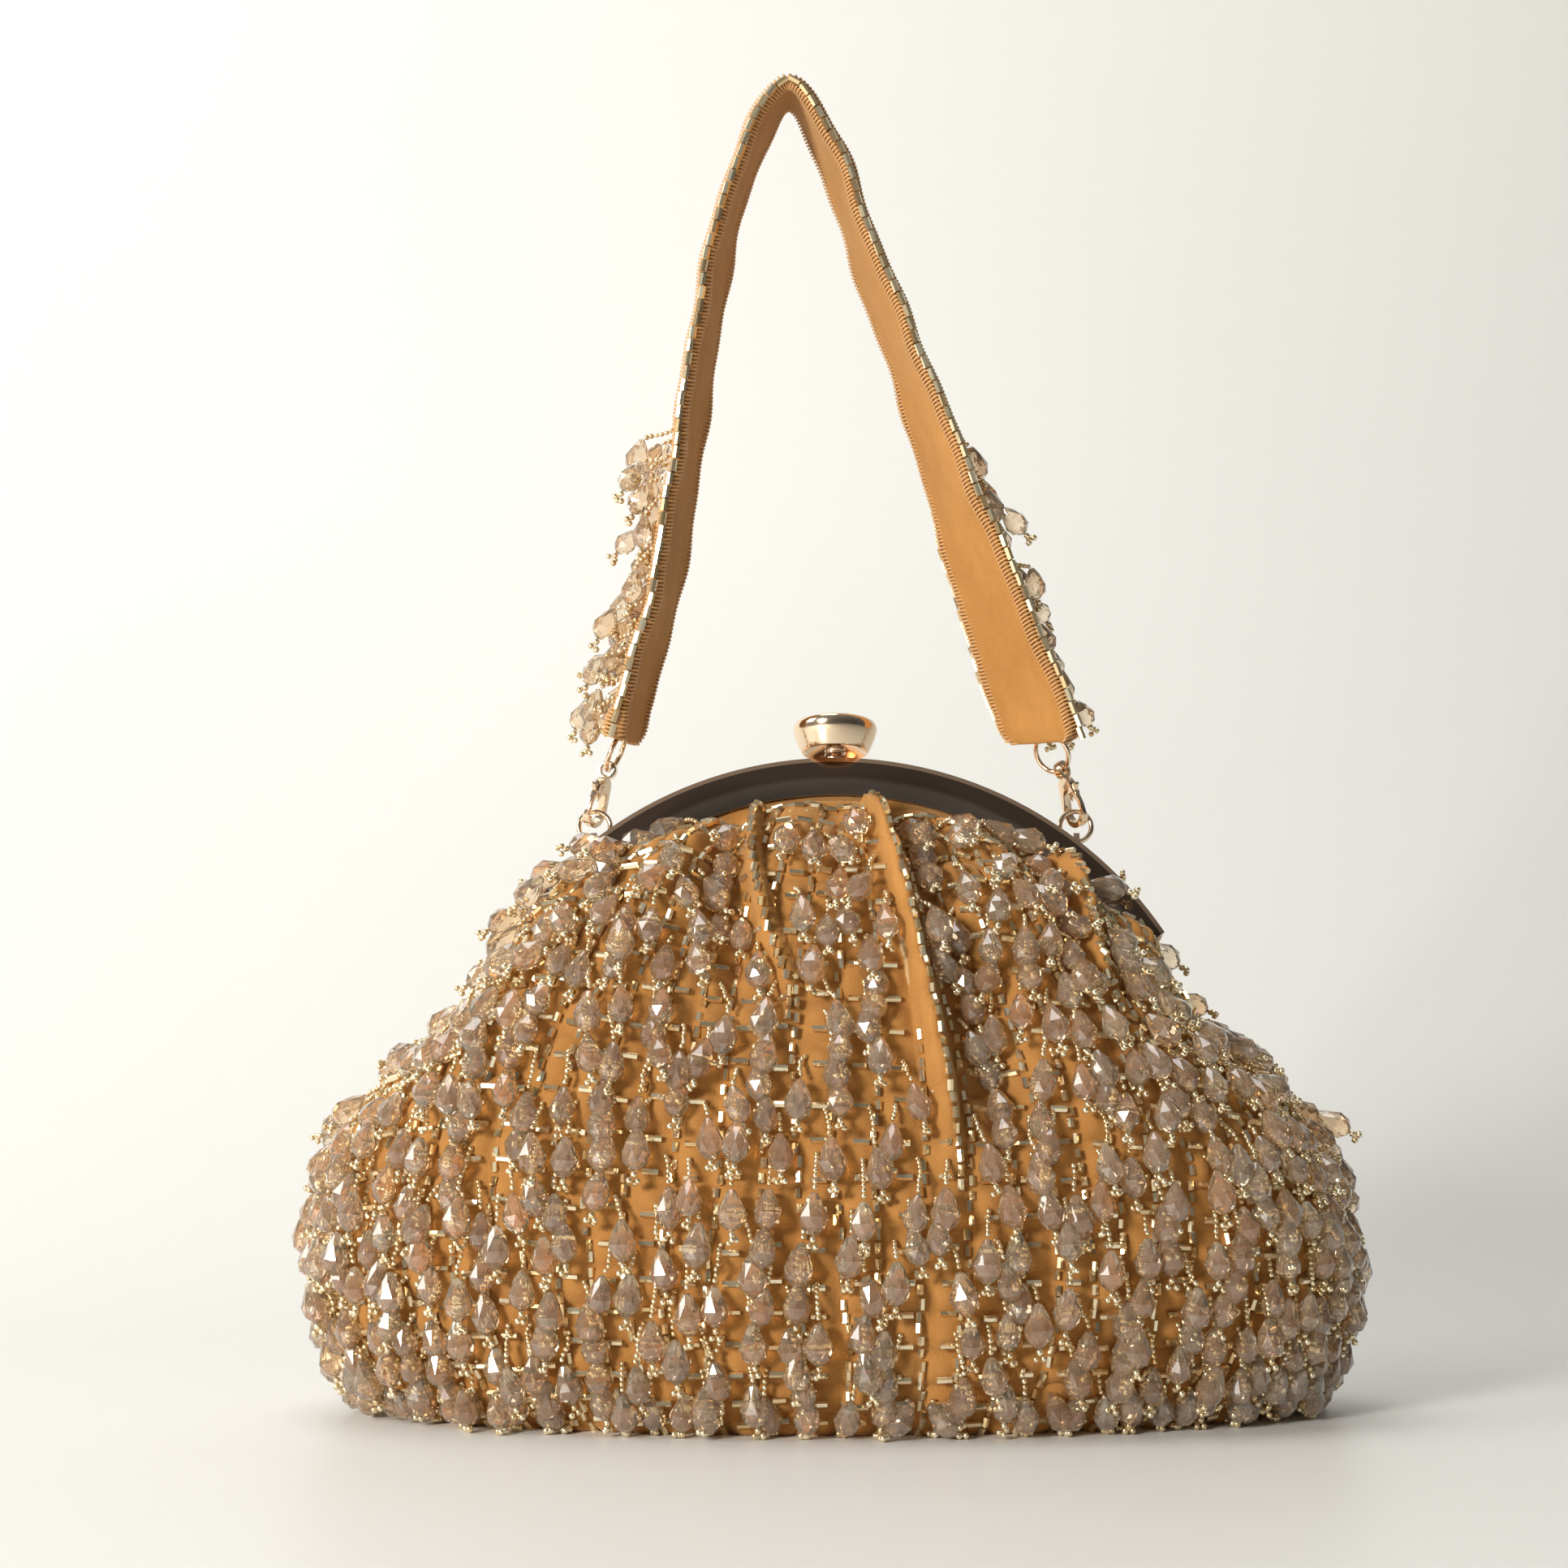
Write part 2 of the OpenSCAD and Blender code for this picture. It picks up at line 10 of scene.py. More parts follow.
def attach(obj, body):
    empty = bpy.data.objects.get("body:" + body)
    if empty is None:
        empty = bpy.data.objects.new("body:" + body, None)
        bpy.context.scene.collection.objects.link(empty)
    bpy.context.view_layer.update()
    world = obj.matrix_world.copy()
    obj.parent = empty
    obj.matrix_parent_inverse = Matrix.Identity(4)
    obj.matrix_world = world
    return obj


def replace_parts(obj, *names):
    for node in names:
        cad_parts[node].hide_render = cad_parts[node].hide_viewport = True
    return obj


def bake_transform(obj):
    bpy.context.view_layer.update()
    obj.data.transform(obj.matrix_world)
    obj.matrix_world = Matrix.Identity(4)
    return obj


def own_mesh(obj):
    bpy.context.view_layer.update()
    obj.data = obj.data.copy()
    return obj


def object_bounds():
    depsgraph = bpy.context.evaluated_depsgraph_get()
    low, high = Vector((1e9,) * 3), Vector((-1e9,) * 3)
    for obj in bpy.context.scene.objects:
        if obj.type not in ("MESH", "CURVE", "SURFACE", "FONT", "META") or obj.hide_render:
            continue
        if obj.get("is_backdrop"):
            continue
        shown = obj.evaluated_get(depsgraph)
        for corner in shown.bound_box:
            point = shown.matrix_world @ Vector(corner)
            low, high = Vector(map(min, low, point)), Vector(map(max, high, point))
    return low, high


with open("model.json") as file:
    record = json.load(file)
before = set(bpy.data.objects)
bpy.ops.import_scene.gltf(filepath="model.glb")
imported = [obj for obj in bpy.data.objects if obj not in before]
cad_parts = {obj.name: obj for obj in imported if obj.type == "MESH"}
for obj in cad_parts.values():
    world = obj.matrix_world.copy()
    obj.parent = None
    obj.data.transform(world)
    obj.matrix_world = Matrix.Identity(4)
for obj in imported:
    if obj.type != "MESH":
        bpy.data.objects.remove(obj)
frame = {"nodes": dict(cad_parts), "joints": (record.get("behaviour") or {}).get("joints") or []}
cad_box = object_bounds()
mm = 0.001

# ---------------------------------------------------------------- camera and set
# A small table set: the camera stands close and a little above table height, looking
# very slightly up, so the knob's underside shows and the table still runs under the bag.
bpy.ops.object.select_all(action="DESELECT")
bpy.ops.object.camera_add(
    location=(-12 * mm, -660 * mm, 97 * mm), rotation=(math.radians(94.03), 0, 0)
)
camera = bpy.context.object
camera.data.sensor_width = 36
camera.data.lens = 65.5
camera.data.clip_start = 10 * mm
bpy.context.scene.camera = camera
bpy.context.scene.view_settings.view_transform = "Standard"


class Wire:
    """A shader socket that takes part in Python sums."""

    def __init__(self, tree, socket=None):
        self.tree = tree
        self.socket = socket

    def node(self, kind, settings=(), sockets=(), out=0):
        made = self.tree.nodes.new("ShaderNode" + kind)
        for name, value in dict(settings).items():
            if name == "stops":
                ramp = made.color_ramp.elements
                while len(ramp) < len(value):
                    ramp.new(0.5)
                for stop, (place, colour) in zip(ramp, value):
                    stop.position = place
                    stop.color = (*colour, 1)
            else:
                setattr(made, name, value)
        for name, value in dict(sockets).items():
            if isinstance(value, Wire):
                self.tree.links.new(value.socket, made.inputs[name])
            else:
                made.inputs[name].default_value = value
        return Wire(self.tree, made.outputs[out] if made.outputs else None)

    def sum(self, operation, first, second=0.0):
        return self.node("Math", {"operation": operation}, {0: first, 1: second})

    def __add__(self, other):
        return self.sum("ADD", self, other)

    def __radd__(self, other):
        return self.sum("ADD", other, self)

    def __sub__(self, other):
        return self.sum("SUBTRACT", self, other)

    def __rsub__(self, other):
        return self.sum("SUBTRACT", other, self)

    def __mul__(self, other):
        return self.sum("MULTIPLY", self, other)

    def __rmul__(self, other):
        return self.sum("MULTIPLY", other, self)

    def __pow__(self, other):
        return self.sum("POWER", self, other)

    def over(self, limit):
        return self.sum("GREATER_THAN", self, limit)

    def mix(self, low, high):
        """From one colour to another by this socket."""
        return self.node(
            "Mix", {"data_type": "RGBA"}, {0: self, 6: colour(low), 7: colour(high)}, out=2
        )


def colour(value):
    return (*value, 1) if isinstance(value, tuple) and len(value) == 3 else value


def material(name):
    """A new empty material and the wire that starts its nodes."""
    made = bpy.data.materials.new(name)
    made.use_nodes = True
    made.node_tree.nodes.clear()
    return made, Wire(made.node_tree)


def surface(wire, **sockets):
    """Ends a material in one Principled shader. Names give spaces as underscores."""
    named = {name.replace("_", " "): colour(value) for name, value in sockets.items()}
    shader = wire.node("BsdfPrincipled", sockets=named)
    wire.node("OutputMaterial", sockets={"Surface": shader})


def noise(wire, scale, detail=3.0, roughness=0.5, stretch=None):
    """Noise over the object's own coordinates, at a scale in features a metre."""
    place = wire.node("TexCoord", out=3)
    if stretch:
        place = wire.node("Mapping", sockets={"Vector": place, "Scale": stretch})
    return wire.node(
        "TexNoise",
        sockets={"Vector": place, "Scale": scale, "Detail": detail, "Roughness": roughness},
    )


# The table and the wall behind it are one sheet of pale card, curved up at the back.
bpy.ops.object.select_all(action="DESELECT")
bpy.ops.mesh.primitive_plane_add(size=5, location=(0, -1.75, 0))
card = bpy.context.object
card.name = "card"
bpy.ops.object.transform_apply(location=True)
bpy.ops.object.mode_set(mode="EDIT")
bpy.ops.mesh.select_mode(type="EDGE")
bpy.ops.mesh.select_all(action="DESELECT")
bpy.ops.object.mode_set(mode="OBJECT")
for edge in card.data.edges:
    edge.select = all(card.data.vertices[v].co.y > 0.5 for v in edge.vertices)
bpy.ops.object.mode_set(mode="EDIT")
bpy.ops.mesh.extrude_region_move(TRANSFORM_OT_translate={"value": (0, 0, 3.5)})
bpy.ops.object.mode_set(mode="OBJECT")
for edge in card.data.edges:
    edge.select = all(
        card.data.vertices[v].co.y > 0.5 and card.data.vertices[v].co.z < 0.1 for v in edge.vertices
    )
bpy.ops.object.mode_set(mode="EDIT")
bpy.ops.mesh.bevel(offset=0.62, segments=24)
bpy.ops.object.mode_set(mode="OBJECT")
bpy.ops.object.shade_smooth()
paper, wire = material("pale_card")
mottle = noise(wire, 2.0)
surface(
    wire,
    Base_Color=mottle.mix((0.80, 0.795, 0.765), (0.84, 0.835, 0.805)),
    Roughness=0.42,
    Specular_IOR_Level=0.35,
)
card.data.materials.append(paper)
card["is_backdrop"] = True


def lamp(name, place, aim, size, watts, tint=(1, 1, 1)):
    """A square soft light that faces a point."""
    bpy.ops.object.light_add(type="AREA", location=place)
    made = bpy.context.object
    made.name = name
    made.data.size = size
    made.data.energy = watts
    made.data.color = tint
    turn = (Vector(aim) - Vector(place)).to_track_quat("-Z", "Y")
    made.rotation_euler = turn.to_euler()


lamp("key", (-1.1, -1.4, 0.56), (0, 0, 0.1), 0.42, 32, (1, 0.965, 0.91))
lamp("side", (-1.5, -0.35, 0.8), (0, 0, 0.1), 0.7, 9.5, (1, 0.985, 0.95))
lamp("top", (-0.2, 0.1, 1.4), (0, 0, 0), 0.7, 5)

# The room: bright on the left and above, dim on the right and behind the camera.
world = bpy.data.worlds.new("studio")
world.use_nodes = True
world.node_tree.nodes.clear()
wire = Wire(world.node_tree)
facing = wire.node("TexCoord", out=0)
split = wire.node("SeparateXYZ", sockets={"Vector": facing}).socket.node
right, back, up = (Wire(world.node_tree, split.outputs[i]) for i in range(3))
strength = right * -0.1 + back * 0.1 + up * 0.1 + 0.19
sky = wire.node("Background", sockets={"Color": (0.94, 0.945, 0.93, 1), "Strength": strength})
wire.node("OutputWorld", sockets={"Surface": sky})
bpy.context.scene.world = world

# ---------------------------------------------------------------- velvet panels
# The pouch is two panels of amber velvet, pleated up into the arched frame and sewn to
# each other down the sides. The cloth folds forward under the band and sags over the belly.
hinge = next(j for j in frame["joints"] if j["name"] == "front_frame_hinge")
hinge_z = hinge["pos_m"][2]
lean = math.radians(12)
arch_cz = 61 * mm
arch_r = 89 * mm
band_h = 9 * mm
cloth_end = 53.0
velvet_t = 1.2 * mm
tuck_r = arch_r - band_h - 2.5 * mm
held_r = arch_r - 6.2 * mm


def smooth(low, high, x):
    u = np.clip((x - low) / (high - low), 0, 1)
    return u * u * (3 - 2 * u)


def leaned(x, y, z):
    """The frame leans back about its hinge, and what it holds leans with it."""
    h = z - hinge_z
    return np.stack(
        [
            x,
            y * math.cos(lean) + h * math.sin(lean),
            hinge_z + h * math.cos(lean) - y * math.sin(lean),
        ],
        axis=-1,
    )


def on_arch(radius, y, turn):
    return leaned(radius * np.sin(turn), y + 0 * turn, arch_cz + radius * np.cos(turn))


def bare_panel(side, around, t, out):
    """The panel before its folds: around is -90 to 90 degrees, t is 0 at the base and 1
    under the frame, 2 where the cloth has folded back and 3 up in the channel."""
    a = np.radians(around)
    turn = np.radians(around / 90 * cloth_end)
    puff_left = smooth(14, 60, -around) if side < 0 else 0.5 * smooth(20, 70, np.abs(around))
    low_right = smooth(25, 65, around) if side < 0 else 0 * a
    base = np.stack(
        [(95 * mm + out) * np.sin(a), side * (34 * mm + out) * np.cos(a), 0.3 * mm + 0 * a], -1
    )
    belly = np.stack(
        [(133 * mm + out) * np.sin(a), side * (61 * mm + out) * np.cos(a), 27 * mm + 0 * a], -1
    )
    shoulder = np.stack(
        [
            (108 * mm + out) * np.sin(a) * (1 + 0.02 * puff_left - 0.03 * low_right),
            side * ((31 + 9 * puff_left) * mm + out) * np.cos(a),
            (96 + 15 * np.cos(a) + 28 * puff_left * np.abs(np.cos(a)) - 3 * low_right) * mm,
        ],
        -1,
    )
    under = on_arch(tuck_r + out, side * (6.4 * mm + out), turn)
    t1 = np.clip(t, 0, 1)[..., None]
    point = (
        base * (1 - t1) ** 3
        + 3 * belly * t1 * (1 - t1) ** 2
        + 3 * shoulder * t1**2 * (1 - t1)
        + under * t1**3
    )
    waist = 0.13 * smooth(0.45, 0.72, t) * (1 - smooth(0.78, 0.95, t)) * np.sin(a) ** 2
    point[..., 0] *= 1 - waist
    part = 0.2 + 3 * smooth(0.66, 0.82, t) * (1 - smooth(0.88, 1, t))
    point[..., 1] += side * part * mm
    folded = on_arch(tuck_r + out, side * (3.3 * mm + out), turn)
    held = on_arch(held_r, side * (3.3 * mm + out), turn)
    point = np.where((t > 2.5)[..., None], held, np.where((t > 1.5)[..., None], folded, point))
    return point


# Columns of bugles round a panel, and rows of drops up it. The cloth puffs between them.
columns = 38
rows = 17

# Each large fold: degrees round the panel at the frame and at its foot, how far down it
# runs, its height, the side on which the cloth drops into a hollow, and its width.
front_folds = [(-22, -6, 0.66, 5.5, -1, 1.1), (9, 13, 0.45, 6, 1, 1.1), (62, 44, 0.70, 6, -1, 1.6)]
back_folds = [(-48, -34, 0.62, 5.5, 1, 1.8), (-8, -3, 0.5, 6, -1, 1.6), (34, 26, 0.6, 5.5, 1, 1.8)]


def fold_line(fold, t):
    top, foot, low = fold[:3]
    return foot + (top - foot) * np.clip((t - low) / (1 - low), 0, 1)


def fold_height(side, around, t):
    """How far the folded, puffed and sagging cloth stands out from the bare panel."""
    high = 0 * around
    for fold in front_folds if side < 0 else back_folds:
        off = around - fold_line(fold, t)
        grow = smooth(fold[2] - 0.08, fold[2] + 0.14, t) * (1 - 0.55 * smooth(0.93, 1, t))
        ridge = np.exp(-((off / fold[5]) ** 4))
        hollow = np.exp(-(((off - fold[4] * 6.5) / 4) ** 2))
        high = high + grow * fold[3] * (ridge - 1.15 * hollow)
    gather = smooth(0.55, 0.95, t) * (1 - smooth(0.97, 1, t))
    high = high + 1.3 * gather * np.cos(np.radians(around * 15.5) + 3 * t)
    puff = np.abs(np.sin(np.pi * (around + 90) / 180 * columns))
    puff = puff * np.abs(np.sin(np.pi * t * rows))
    high = high + 2.1 * puff * (1 - smooth(0.9, 0.98, t))
    sag = np.sin(np.radians(around * 2.3 + 40 * side)) * np.cos(5.1 * t + side)
    sag = sag + 0.7 * np.sin(np.radians(around * 5.1) + 7 * t)
    return (high + 1.1 * sag * smooth(0, 0.2, t) * (1 - smooth(0.9, 1, t))) * mm


def slopes(side, around, t):
    """Points of the bare panel and its outward normals."""
    step = 0.02
    point = bare_panel(side, around, t, 0)
    t_up = np.minimum(t + step, 1)
    t_down = np.maximum(np.minimum(t, 1) - step, 0)
    rise = bare_panel(side, around, t_up, 0) - bare_panel(side, around, t_down, 0)
    run = bare_panel(side, around + 0.5, t, 0) - bare_panel(side, around - 0.5, t, 0)
    normal = np.cross(run, rise) * (-side)
    normal /= np.linalg.norm(normal, axis=-1, keepdims=True)
    return point, normal


def cloth(side, around, t, out=0.0):
    """Points of the finished cloth at a distance outside it, with its outward normals."""
    around = np.asarray(around, float)
    t = np.asarray(t, float)
    point, normal = slopes(side, around, t)
    rest = bare_panel(side, around, t, out)
    high = fold_height(side, around, t) * (t <= 1)
    return rest + normal * high[..., None], normal


def sheet_of(name, points):
    """A grid primitive whose corners go to the given rows and columns of points."""
    high, wide = points.shape[:2]
    bpy.ops.object.select_all(action="DESELECT")
    bpy.ops.mesh.primitive_grid_add(x_subdivisions=wide - 1, y_subdivisions=high - 1, size=1)
    made = bpy.context.object
    made.name = name
    made.data.vertices.foreach_set("co", points.reshape(-1))
    made.data.update()
    return made


def thicken(piece, thickness, levels=0):
    """Gives a sheet its thickness on both sides of its middle, and smooth faces."""
    bpy.ops.object.select_all(action="DESELECT")
    piece.select_set(True)
    bpy.context.view_layer.objects.active = piece
    wall = piece.modifiers.new("wall", "SOLIDIFY")
    wall.thickness = thickness
    wall.offset = 0.0
    bpy.ops.object.modifier_apply(modifier=wall.name)
    if levels:
        soft = piece.modifiers.new("soft", "SUBSURF")
        soft.levels = levels
        soft.render_levels = levels
        bpy.ops.object.modifier_apply(modifier=soft.name)
    bpy.ops.object.mode_set(mode="EDIT")
    bpy.ops.mesh.select_all(action="SELECT")
    bpy.ops.mesh.normals_make_consistent(inside=False)
    bpy.ops.object.mode_set(mode="OBJECT")
    bpy.ops.object.shade_smooth()
    return piece


velvet, wire = material("amber_velvet")
patch = noise(wire, 55, 4, 0.6)
pile = noise(wire, 2600, 2, 0.7)
lie_of_pile = noise(wire, 260, 3, 0.6, (1, 1, 0.35))
deep = (0.27, 0.105, 0.020)
lit = (0.60, 0.295, 0.085)
tone = patch * 0.45 + lie_of_pile * 0.35 + pile * 0.3
surface(
    wire,
    Base_Color=tone.mix(deep, lit),
    Roughness=0.88,
    Specular_IOR_Level=0.2,
    Sheen_Weight=0.55,
    Sheen_Roughness=0.35,
    Sheen_Tint=(1.0, 0.72, 0.42),
    Normal=wire.node(
        "Bump",
        sockets={"Strength": 0.55, "Distance": 0.0006, "Height": pile * 0.7 + lie_of_pile * 0.5},
    ),
)

rises = np.concatenate([np.linspace(0, 1, 171), [2, 3]])
arounds = np.linspace(-90, 90, 257)
halves = [(-1, "front", "front_half"), (1, "back", "back_half")]

# Each panel's cloth is one thickened sheet of velvet, in place of the CAD panel.
velvet_pieces = {}
for side, word, body in halves:
    around_grid, rise_grid = np.meshgrid(arounds, rises)
    points, _ = cloth(side, around_grid, rise_grid)
    piece = thicken(sheet_of("velvet_" + word + "_cloth", points), velvet_t)
    piece.data.materials.append(velvet)
    velvet_pieces[side] = piece
    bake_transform(piece)
    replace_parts(piece, "velvet_" + word)

# ---------------------------------------------------------------- lining and base
# Inside is a bag of thin satin: two panels that follow the velvet, an oval floor over a
# stiff board, and a patch pocket with a turned hem on the back panel.
lining_t = 0.6 * mm
layer_gap = 0.4 * mm
lining_out = -(velvet_t / 2 + layer_gap + lining_t / 2)
satin, wire = material("straw_satin")
slub = noise(wire, 900, 2, 0.5, (1, 1, 0.06))
surface(
    wire,
    Base_Color=slub.mix((0.42, 0.25, 0.10), (0.60, 0.40, 0.19)),
    Roughness=0.38,
    Sheen_Weight=0.3,
    Sheen_Tint=(1.0, 0.85, 0.6),
    Normal=wire.node("Bump", sockets={"Strength": 0.3, "Distance": 0.0002, "Height": slub}),
)
lining_rises = np.concatenate([np.linspace(0.075, 1, 90), [2, 3]])
for side, word, body in halves:
    around_grid, rise_grid = np.meshgrid(np.linspace(-88, 88, 121), lining_rises)
    points, _ = cloth(side, around_grid, rise_grid, lining_out)
    piece = thicken(sheet_of("lining_" + word + "_cloth", points), lining_t)
    piece.data.materials.append(satin)
    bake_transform(piece)
    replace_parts(piece, "lining_" + word)

pocket_out = lining_out - lining_t - layer_gap
around_grid, rise_grid = np.meshgrid(np.linspace(-45, 45, 61), np.linspace(0.25, 0.625, 41))
points, _ = cloth(1, around_grid, rise_grid, pocket_out)
pocket = thicken(sheet_of("pocket_cloth", points), lining_t)
around_grid, rise_grid = np.meshgrid(np.linspace(-45, 45, 61), np.linspace(0.595, 0.627, 5))
points, _ = cloth(1, around_grid, rise_grid, pocket_out - 0.45 * mm)
hem = thicken(sheet_of("pocket_hem", points), 0.35 * mm, levels=1)
for piece in (pocket, hem):
    piece.data.materials.append(satin)
    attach(piece, "pouch")
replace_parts(pocket, "lining_pocket")


def oval_cloth(name, inset, z, thickness, finish):
    """An oval of cloth, its edge softly rounded."""
    bpy.ops.object.select_all(action="DESELECT")
    bpy.ops.mesh.primitive_circle_add(vertices=96, radius=1, fill_type="NGON")
    made = bpy.context.object
    made.name = name
    bpy.ops.object.mode_set(mode="EDIT")
    bpy.ops.mesh.select_all(action="SELECT")
    bpy.ops.transform.resize(value=((96 - inset) * mm, (34 - inset) * mm, 1))
    bpy.ops.transform.translate(value=(0, 0, z))
    bpy.ops.mesh.inset(thickness=1.2 * mm)
    bpy.ops.mesh.inset(thickness=6 * mm)
    bpy.ops.mesh.select_all(action="SELECT")
    bpy.ops.mesh.extrude_region_move(TRANSFORM_OT_translate={"value": (0, 0, thickness)})
    bpy.ops.mesh.select_all(action="SELECT")
    bpy.ops.mesh.normals_make_consistent(inside=False)
    bpy.ops.object.mode_set(mode="OBJECT")
    rounding = made.modifiers.new("rounding", "BEVEL")
    rounding.width = thickness * 0.35
    rounding.segments = 3
    bpy.ops.object.modifier_apply(modifier=rounding.name)
    bpy.ops.object.shade_smooth_by_angle(angle=math.radians(40))
    made.data.materials.append(finish)
    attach(made, "pouch")
    return made


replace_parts(oval_cloth("base_cloth", 2, 0, velvet_t, velvet), "velvet_base")
floor_z = velvet_t + 1.5 * mm + 2 * layer_gap
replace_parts(oval_cloth("floor_cloth", 3.5, floor_z, lining_t, satin), "lining_base")

greyboard, wire = material("grey_board")
fibre = noise(wire, 700, 4, 0.6)
surface(
    wire,
    Base_Color=fibre.mix((0.20, 0.18, 0.15), (0.31, 0.28, 0.23)),
    Roughness=0.9,
    Normal=wire.node("Bump", sockets={"Strength": 0.3, "Distance": 0.0003, "Height": fibre}),
)
board = frame["nodes"]["base_board"]
board.data.materials.clear()
board.data.materials.append(greyboard)

# ---------------------------------------------------------------- bead stringing
# Every bead is one of a few small shapes, made once: a faceted crystal drop, a round seed
# bead and a bugle tube. Each is copied to its places as real mesh.
chance = np.random.default_rng(11)


def shape_of(piece):
    """Takes a primitive's corners and faces, then removes it."""
    mesh = piece.data
    corners = np.array([v.co[:] for v in mesh.vertices])
    faces = [tuple(f.vertices) for f in mesh.polygons]
    bpy.data.objects.remove(piece)
    return corners, faces


def crystal_shape():
    """A pear-shaped drop 8.6 mm long, its thread end at the origin, cut in staggered facets."""
    bpy.ops.object.select_all(action="DESELECT")
    bpy.ops.mesh.primitive_uv_sphere_add(segments=8, ring_count=6, radius=1)
    drop = bpy.context.object
    heights = {1.0: (0, 0), 0.866: (0.75, 0.3), 0.5: (1.75, 2.0), 0.0: (2.95, 4.9)}
    heights.update({-0.5: (2.45, 7.0), -0.866: (1.0, 8.3), -1.0: (0, 8.6)})
    for corner in drop.data.vertices:
        level = min(heights, key=lambda z: abs(z - corner.co.z))
        radius, down = heights[level]
        twist = math.pi / 8 if level in (0.5, -0.5) else 0
        angle = math.atan2(corner.co.y, corner.co.x) + twist
        corner.co = (radius * math.cos(angle), radius * math.sin(angle), -down)
    bpy.ops.object.mode_set(mode="EDIT")
    bpy.ops.mesh.select_all(action="SELECT")
    bpy.ops.mesh.quads_convert_to_tris(quad_method="SHORTEST_DIAGONAL")
    bpy.ops.mesh.normals_make_consistent(inside=False)
    bpy.ops.object.mode_set(mode="OBJECT")
    return shape_of(drop)


def seed_shape():
    bpy.ops.object.select_all(action="DESELECT")
    bpy.ops.mesh.primitive_uv_sphere_add(segments=6, ring_count=3, radius=1)
    return shape_of(bpy.context.object)


def bugle_shape():
    """A short six-sided glass tube 2.2 mm long."""
    bpy.ops.object.select_all(action="DESELECT")
    bpy.ops.mesh.primitive_cylinder_add(vertices=6, radius=0.72, depth=2.2)
    return shape_of(bpy.context.object)


crystal = crystal_shape()
seed = seed_shape()
bugle = bugle_shape()


def axes_for(direction):
    """Three axes for each place, the third against the direction that the bead hangs in."""
    third = -direction / np.linalg.norm(direction, axis=-1, keepdims=True)
    helper = np.where(np.abs(third[:, 2:3]) > 0.9, [[1.0, 0, 0]], [[0, 0, 1.0]])
    first = np.cross(helper, third)
    first /= np.linalg.norm(first, axis=-1, keepdims=True)
    return np.stack([first, np.cross(third, first), third], axis=1)


def strew(name, shape, places, ways, sizes, tones, finish, smooth_faces=False, axes=None):
    """Copies a shape to every place, turned to its way, as one mesh. Beads spin freely."""
    corners, faces = shape
    places = np.asarray(places, float)
    sizes = np.asarray(sizes, float)
    if sizes.ndim == 1:
        sizes = np.repeat(sizes[:, None], 3, axis=1)
    local = corners[None] * mm * sizes[:, None, :]
    if axes is None:
        axes = axes_for(np.asarray(ways, float))
        spun = chance.uniform(0, 2 * np.pi, len(places))[:, None]
        x = local[..., 0] * np.cos(spun) - local[..., 1] * np.sin(spun)
        y = local[..., 0] * np.sin(spun) + local[..., 1] * np.cos(spun)
        local = np.stack([x, y, local[..., 2]], -1)
    placed = np.einsum("nki,nij->nkj", local, axes) + places[:, None]
    many = len(places)
    lengths = np.tile([len(f) for f in faces], many)
    loop = np.concatenate([np.array(f) for f in faces])
    loops = (loop[None] + len(corners) * np.arange(many)[:, None]).reshape(-1)
    mesh = bpy.data.meshes.new(name)
    mesh.vertices.add(many * len(corners))
    mesh.vertices.foreach_set("co", placed.reshape(-1))
    mesh.loops.add(len(loops))
    mesh.loops.foreach_set("vertex_index", loops.astype(np.int32))
    mesh.polygons.add(len(lengths))
    starts = np.concatenate([[0], np.cumsum(lengths)[:-1]])
    mesh.polygons.foreach_set("loop_start", starts.astype(np.int32))
    mesh.polygons.foreach_set("use_smooth", np.full(len(lengths), smooth_faces))
    mesh.update(calc_edges=True)
    shade = mesh.attributes.new("tone", "FLOAT", "POINT")
    shade.data.foreach_set("value", np.repeat(np.asarray(tones, np.float32), len(corners)))
    mesh.materials.append(finish)
    piece = bpy.data.objects.new(name, mesh)
    bpy.context.collection.objects.link(piece)
    return piece


# Crystal: champagne glass with a thin lustre coat. Each drop has its own tone.
champagne, wire = material("champagne_crystal")
shade = wire.node("Attribute", {"attribute_name": "tone"}, out=2)
cloud = noise(wire, 420, 2)
surface(
    wire,
    Base_Color=(shade * 0.7 + cloud * 0.35).mix((0.96, 0.68, 0.42), (1.0, 0.88, 0.70)),
    Roughness=0.015,
    IOR=1.5,
    Transmission_Weight=0.89,
    Specular_IOR_Level=0.9,
    Coat_Weight=0.75,
    Coat_Roughness=0.01,
    Coat_IOR=1.8,
)

# Seeds and bugles: clear glass lined with pale gold, bright and hard.
pale_gold, wire = material("silver_lined_gold")
shade = wire.node("Attribute", {"attribute_name": "tone"}, out=2)
surface(
    wire,
    Base_Color=shade.mix((0.74, 0.52, 0.24), (1.0, 0.90, 0.64)),
    Metallic=0.85,
    Roughness=0.1,
    Coat_Weight=0.9,
    Coat_Roughness=0.04,
)


def wall_of(pieces):
    """One search tree over the pieces that hanging strings lie against."""
    corners = []
    faces = []
    for piece in pieces:
        start = len(corners)
        corners += [v.co.copy() for v in piece.data.vertices]
        faces += [tuple(start + v for v in f.vertices) for f in piece.data.polygons]
    return BVHTree.FromPolygons(corners, faces)


